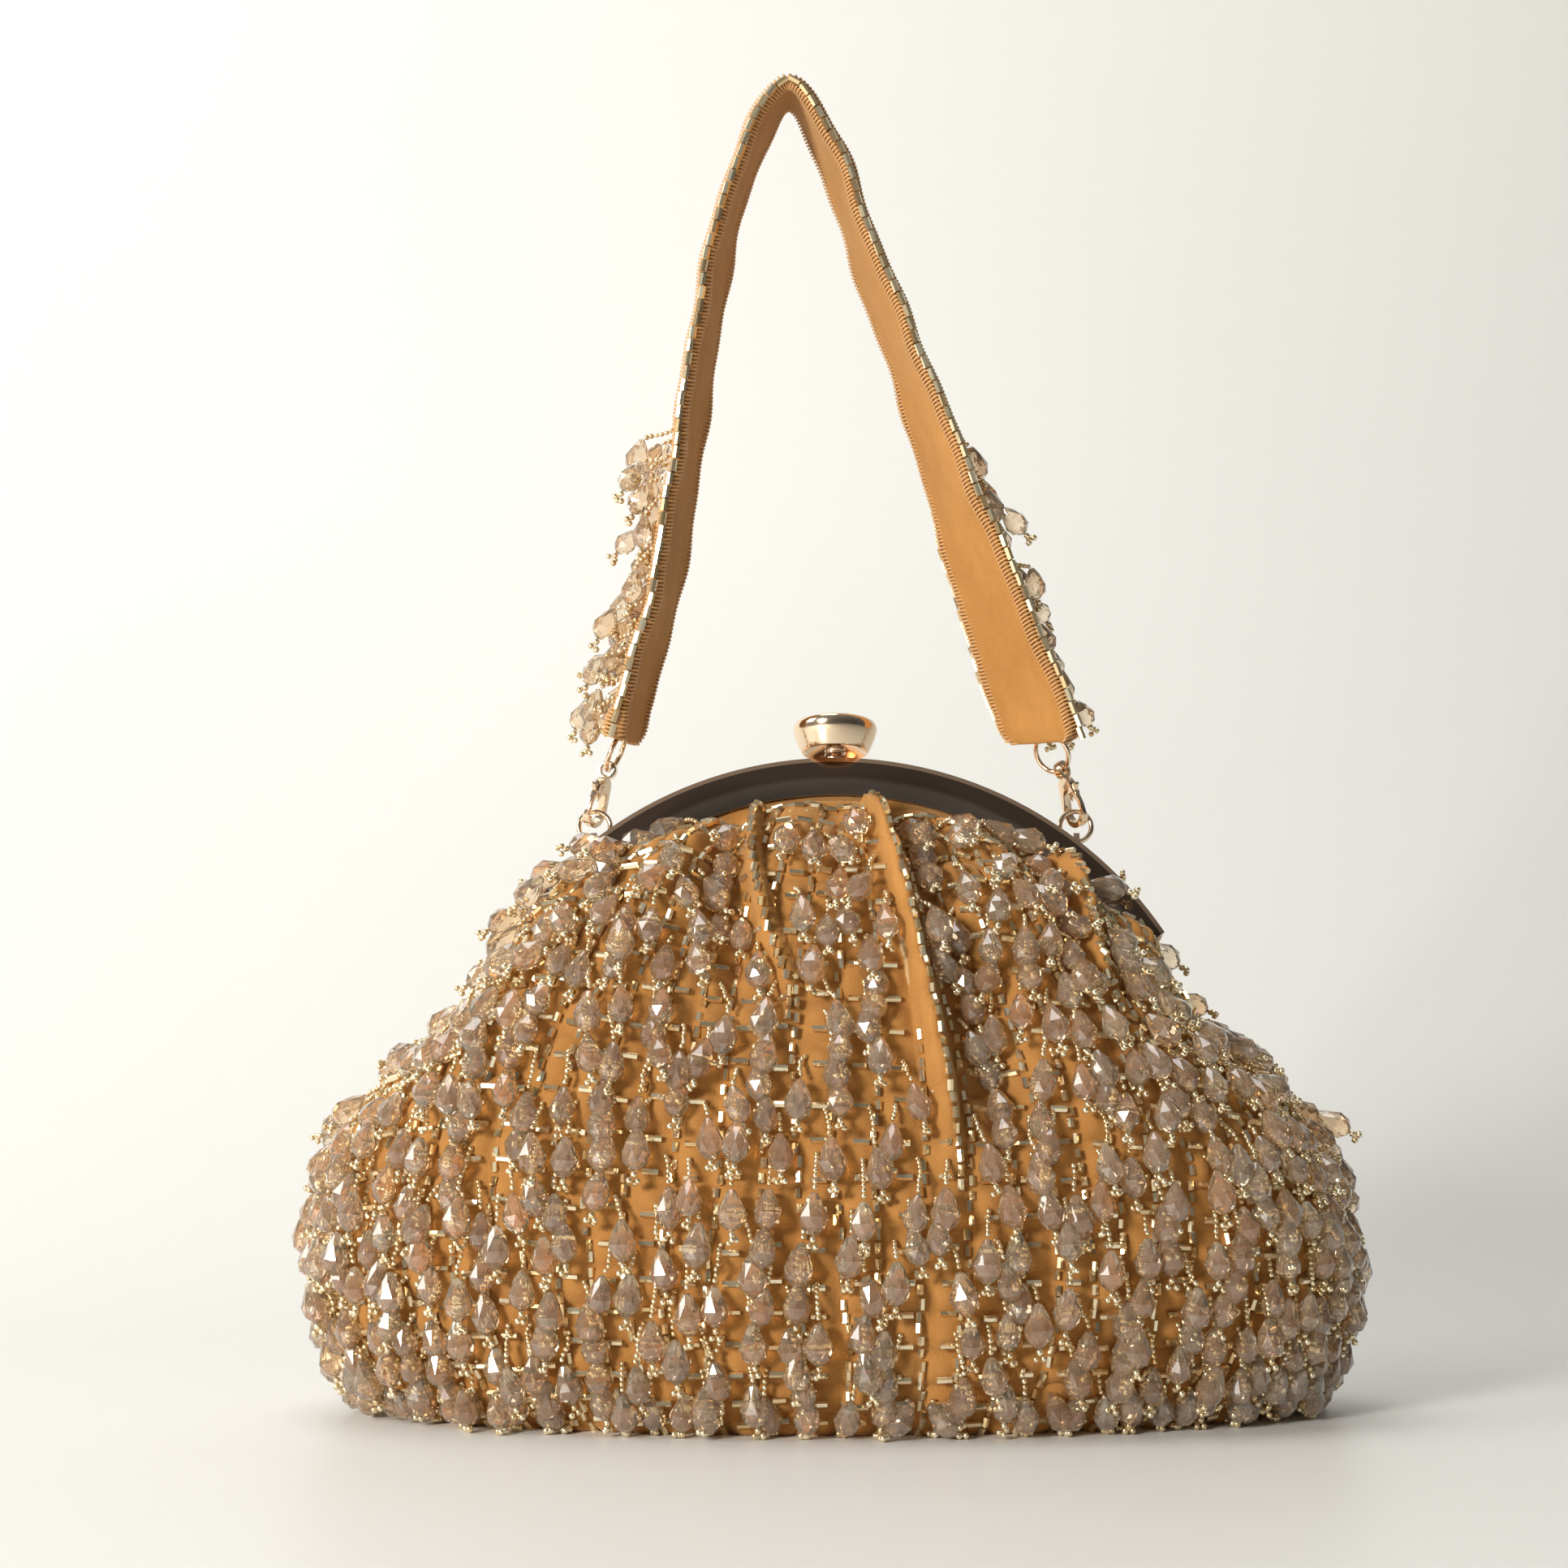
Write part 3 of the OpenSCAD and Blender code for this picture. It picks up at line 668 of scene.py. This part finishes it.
def hang(wall, place, outward, length, lift, sway, floor=3.3 * mm):
    """A string under its own weight: it falls, rests on the cloth, and spreads on the table."""
    step = 1.0 * mm
    steps = int(length / step) + 2
    line = [place + outward * 0.8 * mm]
    level = Vector((outward.x, outward.y, 0)).normalized()
    for i in range(steps):
        reach = 0.8 * mm + lift * min(1, (i + 1) / 6)
        cling = 0.6 * (1 - float(smooth(0.02, 0.045, line[-1].z)))
        pull = Vector((sway[0], sway[1], -1)) - level * cling
        spot = line[-1] + pull.normalized() * step
        near, normal, _, _ = wall.find_nearest(spot)
        if near is not None:
            away = (spot - near).dot(normal)
            if away < reach:
                spot = near + normal * reach
        if spot.z < floor:
            spot = Vector((spot.x, spot.y, floor)) + level * (floor - spot.z) * 0.5
        move = spot - line[-1]
        if move.length > 1e-6:
            spot = line[-1] + move.normalized() * step
        line.append(spot)
    return line


def along(line, distance):
    """The place and direction at a distance down a string of 1 mm steps."""
    at = min(distance / mm, len(line) - 1.001)
    i = int(at)
    return line[i].lerp(line[i + 1], at - i), (line[i + 1] - line[i]).normalized()


crystal_long = 8.6 * mm
strand_pitch = 1.25 * mm


def string_up(wall, place, outward, sway, size, seeds, pile=0.0):
    """One string before its beads: its line, its crystal's size and where that starts."""
    top = seeds * strand_pitch + 0.4 * mm
    lift = 2.2 * mm * size + pile
    line = hang(wall, place, outward, top + (crystal_long + 4.2 * mm) * size, lift, sway)
    middle, _ = along(line, top + 0.55 * crystal_long * size)
    return {"line": line, "size": size, "top": top, "seeds": seeds, "middle": middle}


def make_room(strings, wall, apart=5.9 * mm, rounds=7):
    """Crystals that would share one space push each other aside, and off the cloth."""
    rest_at = np.array([s["middle"][:] for s in strings])
    now = rest_at.copy()
    for _ in range(rounds):
        push = np.zeros_like(now)
        for i in range(len(now)):
            off = now[i] - now
            far = np.sqrt((off * off).sum(1))
            close = (far < apart) & (far > 1e-9)
            if close.any():
                push[i] = (off[close] / far[close, None] * (apart - far[close, None])).sum(0) * 0.4
        now += np.clip(push, -1.2 * mm, 1.2 * mm)
        for i in range(len(now)):
            spot = Vector(now[i])
            near, normal, _, _ = wall.find_nearest(spot)
            away = (spot - near).dot(normal)
            if away < 2.9 * mm:
                now[i] = (near + normal * 2.9 * mm)[:]
        now[:, 2] = np.maximum(now[:, 2], 2.8 * mm)
    for s, shift in zip(strings, now - rest_at):
        shift = Vector(shift)
        s["shift"] = shift * min(1, 3 * mm / max(shift.length, 1e-6))


def bead_up(strings):
    """Threads the beads on the strings: fine seeds, a crystal, and a small cluster below it."""
    store = {"strand": [], "crystal": [], "tip": []}
    for s in strings:
        shift = s["shift"]
        for i in range(s["seeds"]):
            distance = (i + 0.5) * strand_pitch
            spot, way = along(s["line"], distance)
            spot = spot + shift * (distance / s["top"])
            store["strand"].append((spot, way, chance.uniform(0.6, 0.74), chance.uniform(0, 1)))
        spot, way = along(s["line"], s["top"])
        foot, _ = along(s["line"], s["top"] + crystal_long * s["size"])
        lie = (foot - spot).normalized()
        belly = (spot + shift + lie * 5 * mm * s["size"]).z - 3.05 * mm * s["size"]
        tip = (spot + shift + lie * crystal_long * s["size"]).z - 1.2 * mm
        shift = shift + Vector((0, 0, max(0, -belly, -tip)))
        store["crystal"].append((spot + shift, lie, s["size"], chance.uniform(0, 1)))
        foot = spot + shift + lie * crystal_long * s["size"]
        store["tip"].append((foot + lie * 0.7 * mm, lie, 0.88, chance.uniform(0.2, 1)))
        across = lie.cross(Vector((0, 1, 0.2)))
        across.normalize()
        deep = lie.cross(across)
        for turn in range(3):
            angle = turn * 2.1 + chance.uniform(0, 2)
            aside = across * math.cos(angle) + deep * math.sin(angle)
            spot = foot + lie * chance.uniform(1.6, 2.4) * mm + aside * 0.95 * mm
            store["tip"].append((spot, lie, chance.uniform(0.74, 0.9), chance.uniform(0.2, 1)))
    return store


def fill(store, name, shape, finish, smooth_faces=False):
    """Makes the stored beads of one kind into a piece. None goes below the table."""
    spots = np.array([b[0][:] for b in store])
    if shape is seed:
        spots[:, 2] = np.maximum(spots[:, 2], 0.9 * mm)
    ways = np.array([b[1][:] for b in store])
    sizes = np.array([b[2] for b in store])
    tones = [b[3] for b in store]
    return strew(name, shape, spots, ways, sizes, tones, finish, smooth_faces)


# ---------------------------------------------------------------- beadwork on the pouch
# The panels are covered with a net of bugles, and crystal drops hang from its crossings.
# The drops lie on one another down the slope; the lowest ones rest on the table.
wall = wall_of(velvet_pieces.values())


def on_fold(side, around, t):
    """Where the crest of a large fold is bare but for its row of bugles."""
    bare = np.zeros(np.shape(around), bool)
    for fold in front_folds if side < 0 else back_folds:
        bare |= (t > fold[2] + 0.02) & (np.abs(around - fold_line(fold, t)) < fold[5] + 0.4)
    return bare


def lay_bugles(side, around, t, up, lift, long=1.0):
    """Bugles on the cloth, each turned along a short step up or across it."""
    here, normal = cloth(side, around, t)
    there, _ = cloth(side, around + (1 - up) * 0.4, np.minimum(t + up * 0.005, 0.9999))
    ways = there - here
    spots = here + normal * np.reshape(lift, (-1, 1))
    thick = np.full(len(t), 1.05)
    sizes = np.stack([thick, thick, long * chance.uniform(0.85, 1.15, len(t))], 1)
    return spots, ways, sizes


column_bugles = 54
top_row_bugles = 84
lowest_root = 9 * mm


def bugle_net(side):
    """The net: bugles up each column, across each row, and along the crest of each fold."""
    parts = []
    column_t = (np.arange(column_bugles) + 0.5) / column_bugles
    for j in range(columns + 1):
        t = column_t + chance.uniform(-0.003, 0.003, column_bugles)
        around = -90 + 180 * j / columns + 0.9 * np.sin(9 * t + j)
        around = around + chance.uniform(-0.3, 0.3, column_bugles)
        around = np.clip(around, -89.5, 89.5)
        keep = (t < 0.985) & ~on_fold(side, around, t)
        if j % 2:
            keep &= t < 0.93
        parts.append(lay_bugles(side, around[keep], t[keep], 1, 1.15 * mm))
    for i in range(1, rows + 5):
        t = np.full(columns, i / (rows + 4.5)) + chance.uniform(-0.006, 0.006, columns)
        around = -90 + 180 * (np.arange(columns) + 0.5) / columns
        keep = ~on_fold(side, around, t) & (t < 0.97)
        parts.append(lay_bugles(side, around[keep], t[keep], 0, 1.2 * mm, 1.5))
    for fold in front_folds if side < 0 else back_folds:
        t = np.arange(fold[2] - 0.04, 0.985, 1 / 58)
        crest = fold_line(fold, t) + 0.35 * fold[5] * fold[4]
        parts.append(lay_bugles(side, crest, t, 1, 1.4 * mm))
    around = np.arange(-89, 89, 180 / top_row_bugles)
    t = 0.985 + chance.uniform(-0.006, 0.006, len(around))
    parts.append(lay_bugles(side, around, t, 0, 0.9 * mm))
    return [np.concatenate([p[k] for p in parts]) for k in range(3)]


def rooted(side):
    """Where the drops hang from: staggered rows, loose and crowded near the frame."""
    spots = []
    for i in range(rows):
        for j in range(columns):
            t = (i + 0.62 + 0.18 * chance.uniform(-1, 1)) / (rows + 0.1)
            shift = 0.5 + 0.34 * chance.uniform(-1, 1)
            around = -90 + 180 * (j + shift) / columns
            crowd = smooth(0.72, 0.95, t)
            if chance.uniform() < 0.1 * crowd:
                continue
            spots.append((min(max(around, -89), 89), min(t, 0.965)))
    around, t = np.array(spots).T
    keep = ~on_fold(side, around, t)
    return around[keep], t[keep]


strings = {}
for side, word, body in halves:
    around, t = rooted(side)
    spots, normals = cloth(side, around, t)
    strings[word] = []
    for spot, normal, height in zip(spots, normals, t):
        beside_hinge = abs(spot[0]) > 62 * mm and spot[2] > 90 * mm and abs(spot[1]) < 13 * mm
        if spot[2] < lowest_root or beside_hinge:
            continue
        loose = 0.07 + 0.34 * float(smooth(0.6, 0.95, height))
        seeds = int(chance.integers(2, 6)) if height > 0.7 else int(chance.integers(4, 9))
        seeds = min(seeds, int((spot[2] - 8 * mm) / strand_pitch) + 1)
        strings[word].append(
            string_up(
                wall,
                Vector(spot),
                Vector(normal),
                chance.normal(0, loose, 2),
                chance.uniform(0.98, 1.16),
                seeds,
                chance.uniform(0, 1.2) * mm,
            )
        )
make_room(strings["front"] + strings["back"], wall)

for side, word, body in halves:
    store = bead_up(strings[word])
    spots, ways, sizes = bugle_net(side)
    pieces = [
        fill(store["crystal"], "crystals_" + word, crystal, champagne),
        fill(store["strand"], "strands_" + word, seed, pale_gold, True),
        fill(store["tip"], "tips_" + word, seed, pale_gold, True),
        strew(
            "bugles_" + word,
            bugle,
            spots,
            ways,
            sizes,
            chance.uniform(0, 1, len(spots)),
            pale_gold,
        ),
    ]
    for piece in pieces:
        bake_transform(piece)
    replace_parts(pieces[3], "beadwork_" + word)

# ---------------------------------------------------------------- frame
# The frame is two arched halves pressed from brass sheet, plated and smoked to a dark rose
# brown. Each is a channel that grips the cloth's edge; a painted highlight runs round the
# outside edge, and a paler band lower on the face is painted reflection.
def arch_distance(wire):
    """Distance from the arch's centre, in the frame's own upright place."""
    place = wire.node("TexCoord", out=3)
    split = wire.node("SeparateXYZ", sockets={"Vector": place})
    x, y, z = (Wire(wire.tree, split.socket.node.outputs[i]) for i in range(3))
    height = (z - hinge_z) * math.cos(lean) + y * math.sin(lean) + hinge_z
    return (x * x + (height - arch_cz) ** 2.0) ** 0.5


def dressed(name, finish, edge=0.0, angle=35, rounds=2):
    """A node's own solid made again as one skin, its sharp edges eased as polishing does."""
    source = frame["nodes"][name].data
    mesh = bpy.data.meshes.new(name + "_finished")
    corners = [v.co[:] for v in source.vertices]
    mesh.from_pydata(corners, [], [tuple(f.vertices) for f in source.polygons])
    piece = bpy.data.objects.new(name + "_finished", mesh)
    bpy.context.collection.objects.link(piece)
    bpy.ops.object.select_all(action="DESELECT")
    piece.select_set(True)
    bpy.context.view_layer.objects.active = piece
    bpy.ops.object.mode_set(mode="EDIT")
    bpy.ops.mesh.select_all(action="SELECT")
    bpy.ops.mesh.remove_doubles(threshold=0.00002)
    bpy.ops.mesh.dissolve_limited(angle_limit=math.radians(1.5))
    bpy.ops.object.mode_set(mode="OBJECT")
    if edge:
        eased = piece.modifiers.new("eased", "BEVEL")
        eased.width = edge
        eased.segments = rounds
        eased.limit_method = "ANGLE"
        eased.angle_limit = math.radians(angle)
        bpy.ops.object.modifier_apply(modifier=eased.name)
    bpy.ops.object.shade_smooth_by_angle(angle=math.radians(angle))
    mesh.materials.append(finish)
    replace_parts(piece, name)
    return piece


smoked, wire = material("smoked_rose_plate_painted_light")
radius = arch_distance(wire)
# Painted highlight: the outermost 1 mm of the face is coloured bright rose gold.
painted_highlight_rim = radius.over(arch_r - 1.0 * mm)
haze = noise(wire, 60, 3)
scuffs = noise(wire, 900, 2, 0.6, (0.15, 1, 1))
# Painted reflection: more than about 5 mm inside the rim the face turns paler grey brown, a painted
# reflection of the velvet and table below.
painted_reflection_band = wire.node(
    "MapRange", sockets={0: radius, 1: arch_r - 5.6 * mm, 2: arch_r - 4.4 * mm, 3: 1.0, 4: 0.0}
)
face = painted_reflection_band.mix((0.23, 0.155, 0.11), (0.42, 0.33, 0.26))
surface(
    wire,
    # Base colour: the smoked face with its painted reflection, and the painted highlight round the
    # rim.
    Base_Color=painted_highlight_rim.mix(face, (0.98, 0.66, 0.44)),
    Metallic=1.0,
    Roughness=haze * 0.12 + scuffs * 0.06 + 0.06,
    Normal=wire.node("Bump", sockets={"Strength": 0.1, "Distance": 0.0001, "Height": scuffs}),
)
for name, body in (("front_frame", "front_half"), ("back_frame", "back_half")):
    half = dressed(name, smoked, 0.3 * mm)
    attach(half, body)

rose_gold, wire = material("polished_rose_gold")
haze = noise(wire, 240, 3)
scuffs = noise(wire, 2600, 2, 0.6, (1, 1, 0.2))
surface(
    wire,
    Base_Color=haze.mix((0.84, 0.62, 0.42), (0.93, 0.77, 0.57)),
    Metallic=1.0,
    Roughness=haze * 0.14 + 0.07,
    Normal=wire.node("Bump", sockets={"Strength": 0.12, "Distance": 0.00005, "Height": scuffs}),
)
for name in ("hinge_rivet_left", "hinge_rivet_right"):
    rivet = dressed(name, rose_gold, 0.2 * mm)
    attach(rivet, "pouch")

# ---------------------------------------------------------------- clasp
# A press knob stands on the top of the front half. Its stem goes down through a bush into a
# forked spring of the back half; a fine coil spring lifts it again. All are turned or bent
# from brass and plated.
bush = dressed("clasp_bush", rose_gold, 0.12 * mm)
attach(bush, "front_half")
coil = dressed("clasp_spring", rose_gold, 0, 60)
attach(coil, "front_half")
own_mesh(coil)
for name in ("catch_spring", "clasp_stem"):
    kept = frame["nodes"][name]
    kept.data.materials.clear()
    kept.data.materials.append(rose_gold)


def turned(name, profile, base_z, steps=96):
    """Turns a profile of radius and height in mm round the clasp's axis, leaning with it."""
    bpy.ops.object.select_all(action="DESELECT")
    bpy.ops.mesh.primitive_circle_add(vertices=len(profile), radius=1, fill_type="NOTHING")
    made = bpy.context.object
    made.name = name
    for corner, (radius, height) in zip(made.data.vertices, profile):
        corner.co = (radius * mm, 0, height * mm)
    lathe = made.modifiers.new("lathe", "SCREW")
    lathe.steps = steps
    lathe.render_steps = steps
    lathe.use_merge_vertices = True
    lathe.merge_threshold = 0.00001
    bpy.ops.object.modifier_apply(modifier=lathe.name)
    bpy.ops.object.mode_set(mode="EDIT")
    bpy.ops.mesh.select_all(action="SELECT")
    bpy.ops.mesh.remove_doubles(threshold=0.00001)
    bpy.ops.mesh.dissolve_degenerate(threshold=0.000001)
    bpy.ops.mesh.select_all(action="SELECT")
    bpy.ops.mesh.normals_make_consistent(inside=False)
    bpy.ops.object.mode_set(mode="OBJECT")
    lift = Matrix.Translation((0, 0, base_z - hinge_z))
    stand = Matrix.Translation((0, stem_y, 0))
    made.data.transform(
        Matrix.Translation((0, 0, hinge_z)) @ Matrix.Rotation(-lean, 4, "X") @ lift @ stand
    )
    bpy.ops.object.shade_smooth_by_angle(angle=math.radians(28))
    return made


apex_z = arch_cz + arch_r
stem_y = -2.6 * mm
knob_profile = [
    (1.55, 3.0), (2.9, 3.0), (3.3, 2.85), (5.4, 1.8), (6.6, 0.8), (7.15, 0.2), (7.4, 0.0),
    (7.75, 0.05), (7.95, 0.3), (8.35, 1.1), (8.8, 2.1), (9.2, 3.1), (9.55, 4.1), (9.8, 5.0),
    (9.88, 5.6), (9.85, 6.1), (9.7, 6.55), (9.4, 6.95), (8.9, 7.2), (8.0, 7.33), (5.0, 7.4),
    (2.5, 7.4), (0, 7.4), (0, 5.1), (1.55, 5.1),
]
knob = turned("clasp_knob_turned", knob_profile, apex_z + 1.8 * mm)
knob.data.materials.append(rose_gold)
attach(knob, "knob")
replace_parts(knob, "clasp_knob")
bead_profile = [(1.52, 0.0), (1.9, 0.15), (2.05, 0.55), (1.95, 0.95), (1.52, 1.2)]
collar = turned("clasp_collar", bead_profile, apex_z + 1.85 * mm, 40)
collar.data.materials.append(rose_gold)
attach(collar, "knob")

# ---------------------------------------------------------------- rings and claws
# A wire ring in a lug of the back half carries a cast lobster claw on each side, and each
# claw's eye carries the ring that is sewn into the strap. The gate turns on a pin.
for name in ("frame_ring_left", "frame_ring_right"):
    ring = dressed(name, rose_gold)
    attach(ring, "back_half")
for name in ("strap_ring_left", "strap_ring_right", "claw_left", "claw_right"):
    fitting = dressed(name, rose_gold, 0.42 * mm if name.startswith("claw") else 0, 30, 3)
    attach(fitting, "handle")
for side_word in ("left", "right"):
    gate = dressed("trigger_" + side_word, rose_gold, 0.14 * mm)
    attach(gate, side_word + "_gate")
    pin = frame["nodes"]["trigger_pin_" + side_word]
    pin.data.materials.clear()
    pin.data.materials.append(rose_gold)
    leaf = dressed("trigger_spring_" + side_word, rose_gold)
    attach(leaf, "handle")
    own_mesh(leaf)

# ---------------------------------------------------------------- strap
# The strap is two velvet ribbons, whip-stitched together down both edges, standing in a tall
# arch. It twists on its way over, so the right-hand limb shows its inner face.
swing = next(j for j in frame["joints"] if j["name"] == "handle_swing")
handle_y, handle_z = swing["pos_m"][1:]
ring_x = 56.5 * mm
claw_l = 10.2 * mm
claw_tilt = math.radians(17)
eye_x = ring_x - claw_l * math.sin(claw_tilt)
eye_z = handle_z + claw_l * math.cos(claw_tilt)
strap_w = 22 * mm
strap_t = 1.1 * mm
left_end = math.radians(24)
right_end = math.radians(-31)

# The ribbon's route: places across and up in mm, and its turn in degrees. It starts and
# ends one ring's reach, in mm, past the claws' eyes.
end_reach = 7.7
strap_path = np.array(
    [
        (
            -eye_x / mm + end_reach * math.sin(left_end),
            eye_z / mm + end_reach * math.cos(left_end),
            11,
        ),
        (-46, 169, 11),
        (-40.5, 189, 11),
        (-36.5, 213.5, 11),
        (-32.5, 241, 10),
        (-28, 268.5, 8),
        (-21, 294, 4),
        (-11, 310, 0),
        (-1, 295, -6),
        (7.5, 270.5, -10),
        (18, 243, -15),
        (27.5, 215.5, -24),
        (37, 188, -38),
        (44.2, 168, -45),
        (
            eye_x / mm + end_reach * math.sin(right_end),
            eye_z / mm + end_reach * math.cos(right_end),
            -48,
        ),
    ]
)


def path_at(u):
    """Middle line and turn of the ribbon at a share of its length, through the points."""
    spans = len(strap_path) - 1
    u = np.clip(np.asarray(u, float), 0, 1)
    i = np.minimum(spans - 1, np.floor(u * spans)).astype(int)
    f = (u * spans - i)[..., None]
    a, b = strap_path[np.maximum(0, i - 1)], strap_path[i]
    c, d = strap_path[i + 1], strap_path[np.minimum(spans, i + 2)]
    return 0.5 * (
        2 * b + (c - a) * f + (2 * a - 5 * b + 4 * c - d) * f**2 + (3 * b - a - 3 * c + d) * f**3
    )


def ribbon(u):
    """Place, and the ways along, across and out of the ribbon."""
    at = path_at(u)
    place = np.stack([at[..., 0] * mm, 0 * at[..., 0] + handle_y, at[..., 1] * mm], -1)
    turn = np.radians(at[..., 2])
    across = np.stack([np.sin(turn), np.cos(turn), 0 * turn], -1)
    there, here = path_at(u + 0.01), path_at(u - 0.01)
    run = there - here
    way = np.stack([run[..., 0], 0 * run[..., 0], run[..., 1]], -1)
    way /= np.linalg.norm(way, axis=-1, keepdims=True)
    out = np.cross(way, across)
    out /= np.linalg.norm(out, axis=-1, keepdims=True)
    return place, way, across, out


measure = np.linspace(0, 1, 721)
places = ribbon(measure)[0]
run = np.concatenate([[0], np.cumsum(np.linalg.norm(np.diff(places, axis=0), axis=1))])
strap_long = run[-1]


def share_at(distance):
    return np.interp(distance, run, measure)


def ripple(u, side):
    """How far the soft ribbon waves out of its flat, most along its edges."""
    s = np.interp(u, measure, run) / mm
    wave = 0.34 * np.sin(s / 5.3 + 2 * side) + 0.22 * np.sin(s / 2.9 + 1 + side)
    return (wave * np.abs(side) ** 1.5 + 0.3 * np.sin(s / 9) * (1 - side**2)) * mm


def strap_face(u, side, lift):
    """A point on the ribbon: side is -1 at its front edge and 1 at its back edge."""
    place, way, across, out = ribbon(u)
    room = (0.25 + 0.9 * (1 - smooth(0.02, 0.05, np.minimum(u, 1 - u)))) * mm
    height = lift * room + np.sign(lift) * 0.5 * strap_t + ripple(u, side)
    near_end = np.minimum(np.interp(u, measure, run), strap_long - np.interp(u, measure, run))
    corner = np.clip(1 - near_end / (4 * mm), 0, 1)
    half = strap_w / 2 - 4 * mm * (1 - np.sqrt(1 - corner**2))
    return place + across * (side * half)[..., None] + out * height[..., None]


ribbons = {}
for word, lift in (("outer", 1), ("lining", -1)):
    u, side = np.meshgrid(share_at(np.linspace(0, strap_long, 261)), np.linspace(-1, 1, 11))
    points = strap_face(u.T, side.T, np.full(u.T.shape, float(lift)))
    layer = thicken(sheet_of("strap_" + word + "_ribbon", points), strap_t, levels=1)
    layer.data.materials.append(velvet)
    ribbons[word] = layer
    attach(layer, "handle")
    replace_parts(layer, "strap_" + word)

# Whip stitches: loops of silk over the edges of both ribbons.
stitch_pitch = 0.9 * mm
bpy.ops.object.select_all(action="DESELECT")
bpy.ops.mesh.primitive_torus_add(
    major_segments=10, minor_segments=5, major_radius=1.55, minor_radius=0.3
)
stitch_ring = bpy.context.object
for corner in stitch_ring.data.vertices:
    corner.co.y *= 1.12
stitch = shape_of(stitch_ring)
silk, wire = material("amber_silk")
twist = noise(wire, 3000, 2)
surface(
    wire,
    Base_Color=twist.mix((0.42, 0.20, 0.06), (0.74, 0.42, 0.17)),
    Roughness=0.5,
    Sheen_Weight=0.4,
    Sheen_Tint=(1.0, 0.8, 0.5),
)
count = int(strap_long / stitch_pitch)
s = (np.arange(count) + 0.5) * strap_long / count
for side, word in ((-1, "front"), (1, "back")):
    u = share_at(s)
    side_row = np.full(count, float(side))
    _, way, across, out = ribbon(u)
    middle = strap_face(u, side_row, np.zeros(count)) - across * side * 1.25 * mm
    slant = way + 0.25 * across * side
    slant /= np.linalg.norm(slant, axis=-1, keepdims=True)
    beside = np.cross(out, slant)
    axes = np.stack([beside, np.cross(slant, beside), slant], 1)
    near_end = 1 + 0.55 * (1 - smooth(0.02, 0.05, np.minimum(u, 1 - u)))
    sizes = np.stack([np.ones(count), near_end, np.ones(count)], 1)
    tones = chance.uniform(0, 1, count)
    loops = strew("strap_stitches_" + word, stitch, middle, way, sizes, tones, silk, True, axes)
    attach(loops, "handle")

# A row of bugles sewn along each edge, end to end.
edge_bugle_pitch = 3.15 * mm
count = int(strap_long / edge_bugle_pitch)
s = (np.arange(count) + 0.5) * strap_long / count
for side, word in ((-1, "front"), (1, "back")):
    u = share_at(s)
    _, way, across, out = ribbon(u)
    edge = strap_face(u, np.full(count, float(side)), np.zeros(count))
    edge = edge + across * side * 0.95 * mm
    sizes = np.stack([np.full(count, 1.15), np.full(count, 1.15), np.full(count, 1.3)], 1)
    tones = chance.uniform(0, 1, count)
    rowed = strew("strap_bugle_row_" + word, bugle, edge, way, sizes, tones, pale_gold)
    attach(rowed, "handle")
    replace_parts(rowed, "strap_bugles_" + word)

# Crystal drops hang on short strings from the outer face of each limb's lower part.
strap_wall = wall_of([ribbons["outer"], ribbons["lining"]])
drop_rows = 12
first_drop = 9
drop_pitch = 6
for word, far_side in (("left", 0), ("right", 1)):
    hung = []
    for i in range(drop_rows):
        for j in (-0.55, 0.2, 0.8) if i % 2 else (-0.8, -0.15, 0.5):
            distance = (first_drop + drop_pitch * i + chance.uniform(-1.5, 1.5)) * mm
            u = np.array(share_at(strap_long - distance if far_side else distance))
            spot = strap_face(u, np.array(j), np.array(1.0))
            _, _, across, out = ribbon(u)
            hung.append(
                string_up(
                    strap_wall,
                    Vector(spot + out * 0.55 * mm),
                    Vector(out),
                    chance.normal(0, 0.1, 2),
                    chance.uniform(0.86, 1.04),
                    int(chance.integers(3, 7)),
                    chance.uniform(0, 7) * mm,
                )
            )
    make_room(hung, strap_wall)
    store = bead_up(hung)
    drops = fill(store["crystal"], "strap_crystals_" + word, crystal, champagne)
    threads = fill(
        store["strand"] + store["tip"], "strap_seeds_" + word, seed, pale_gold, True
    )
    for piece in (drops, threads):
        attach(piece, "handle")
    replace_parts(drops, "strap_drops_" + word)

# ---------------------------------------------------------------- size note and finish
visual_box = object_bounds()
sizes = {"cad": [list(c) for c in cad_box], "visual": [list(c) for c in visual_box]}
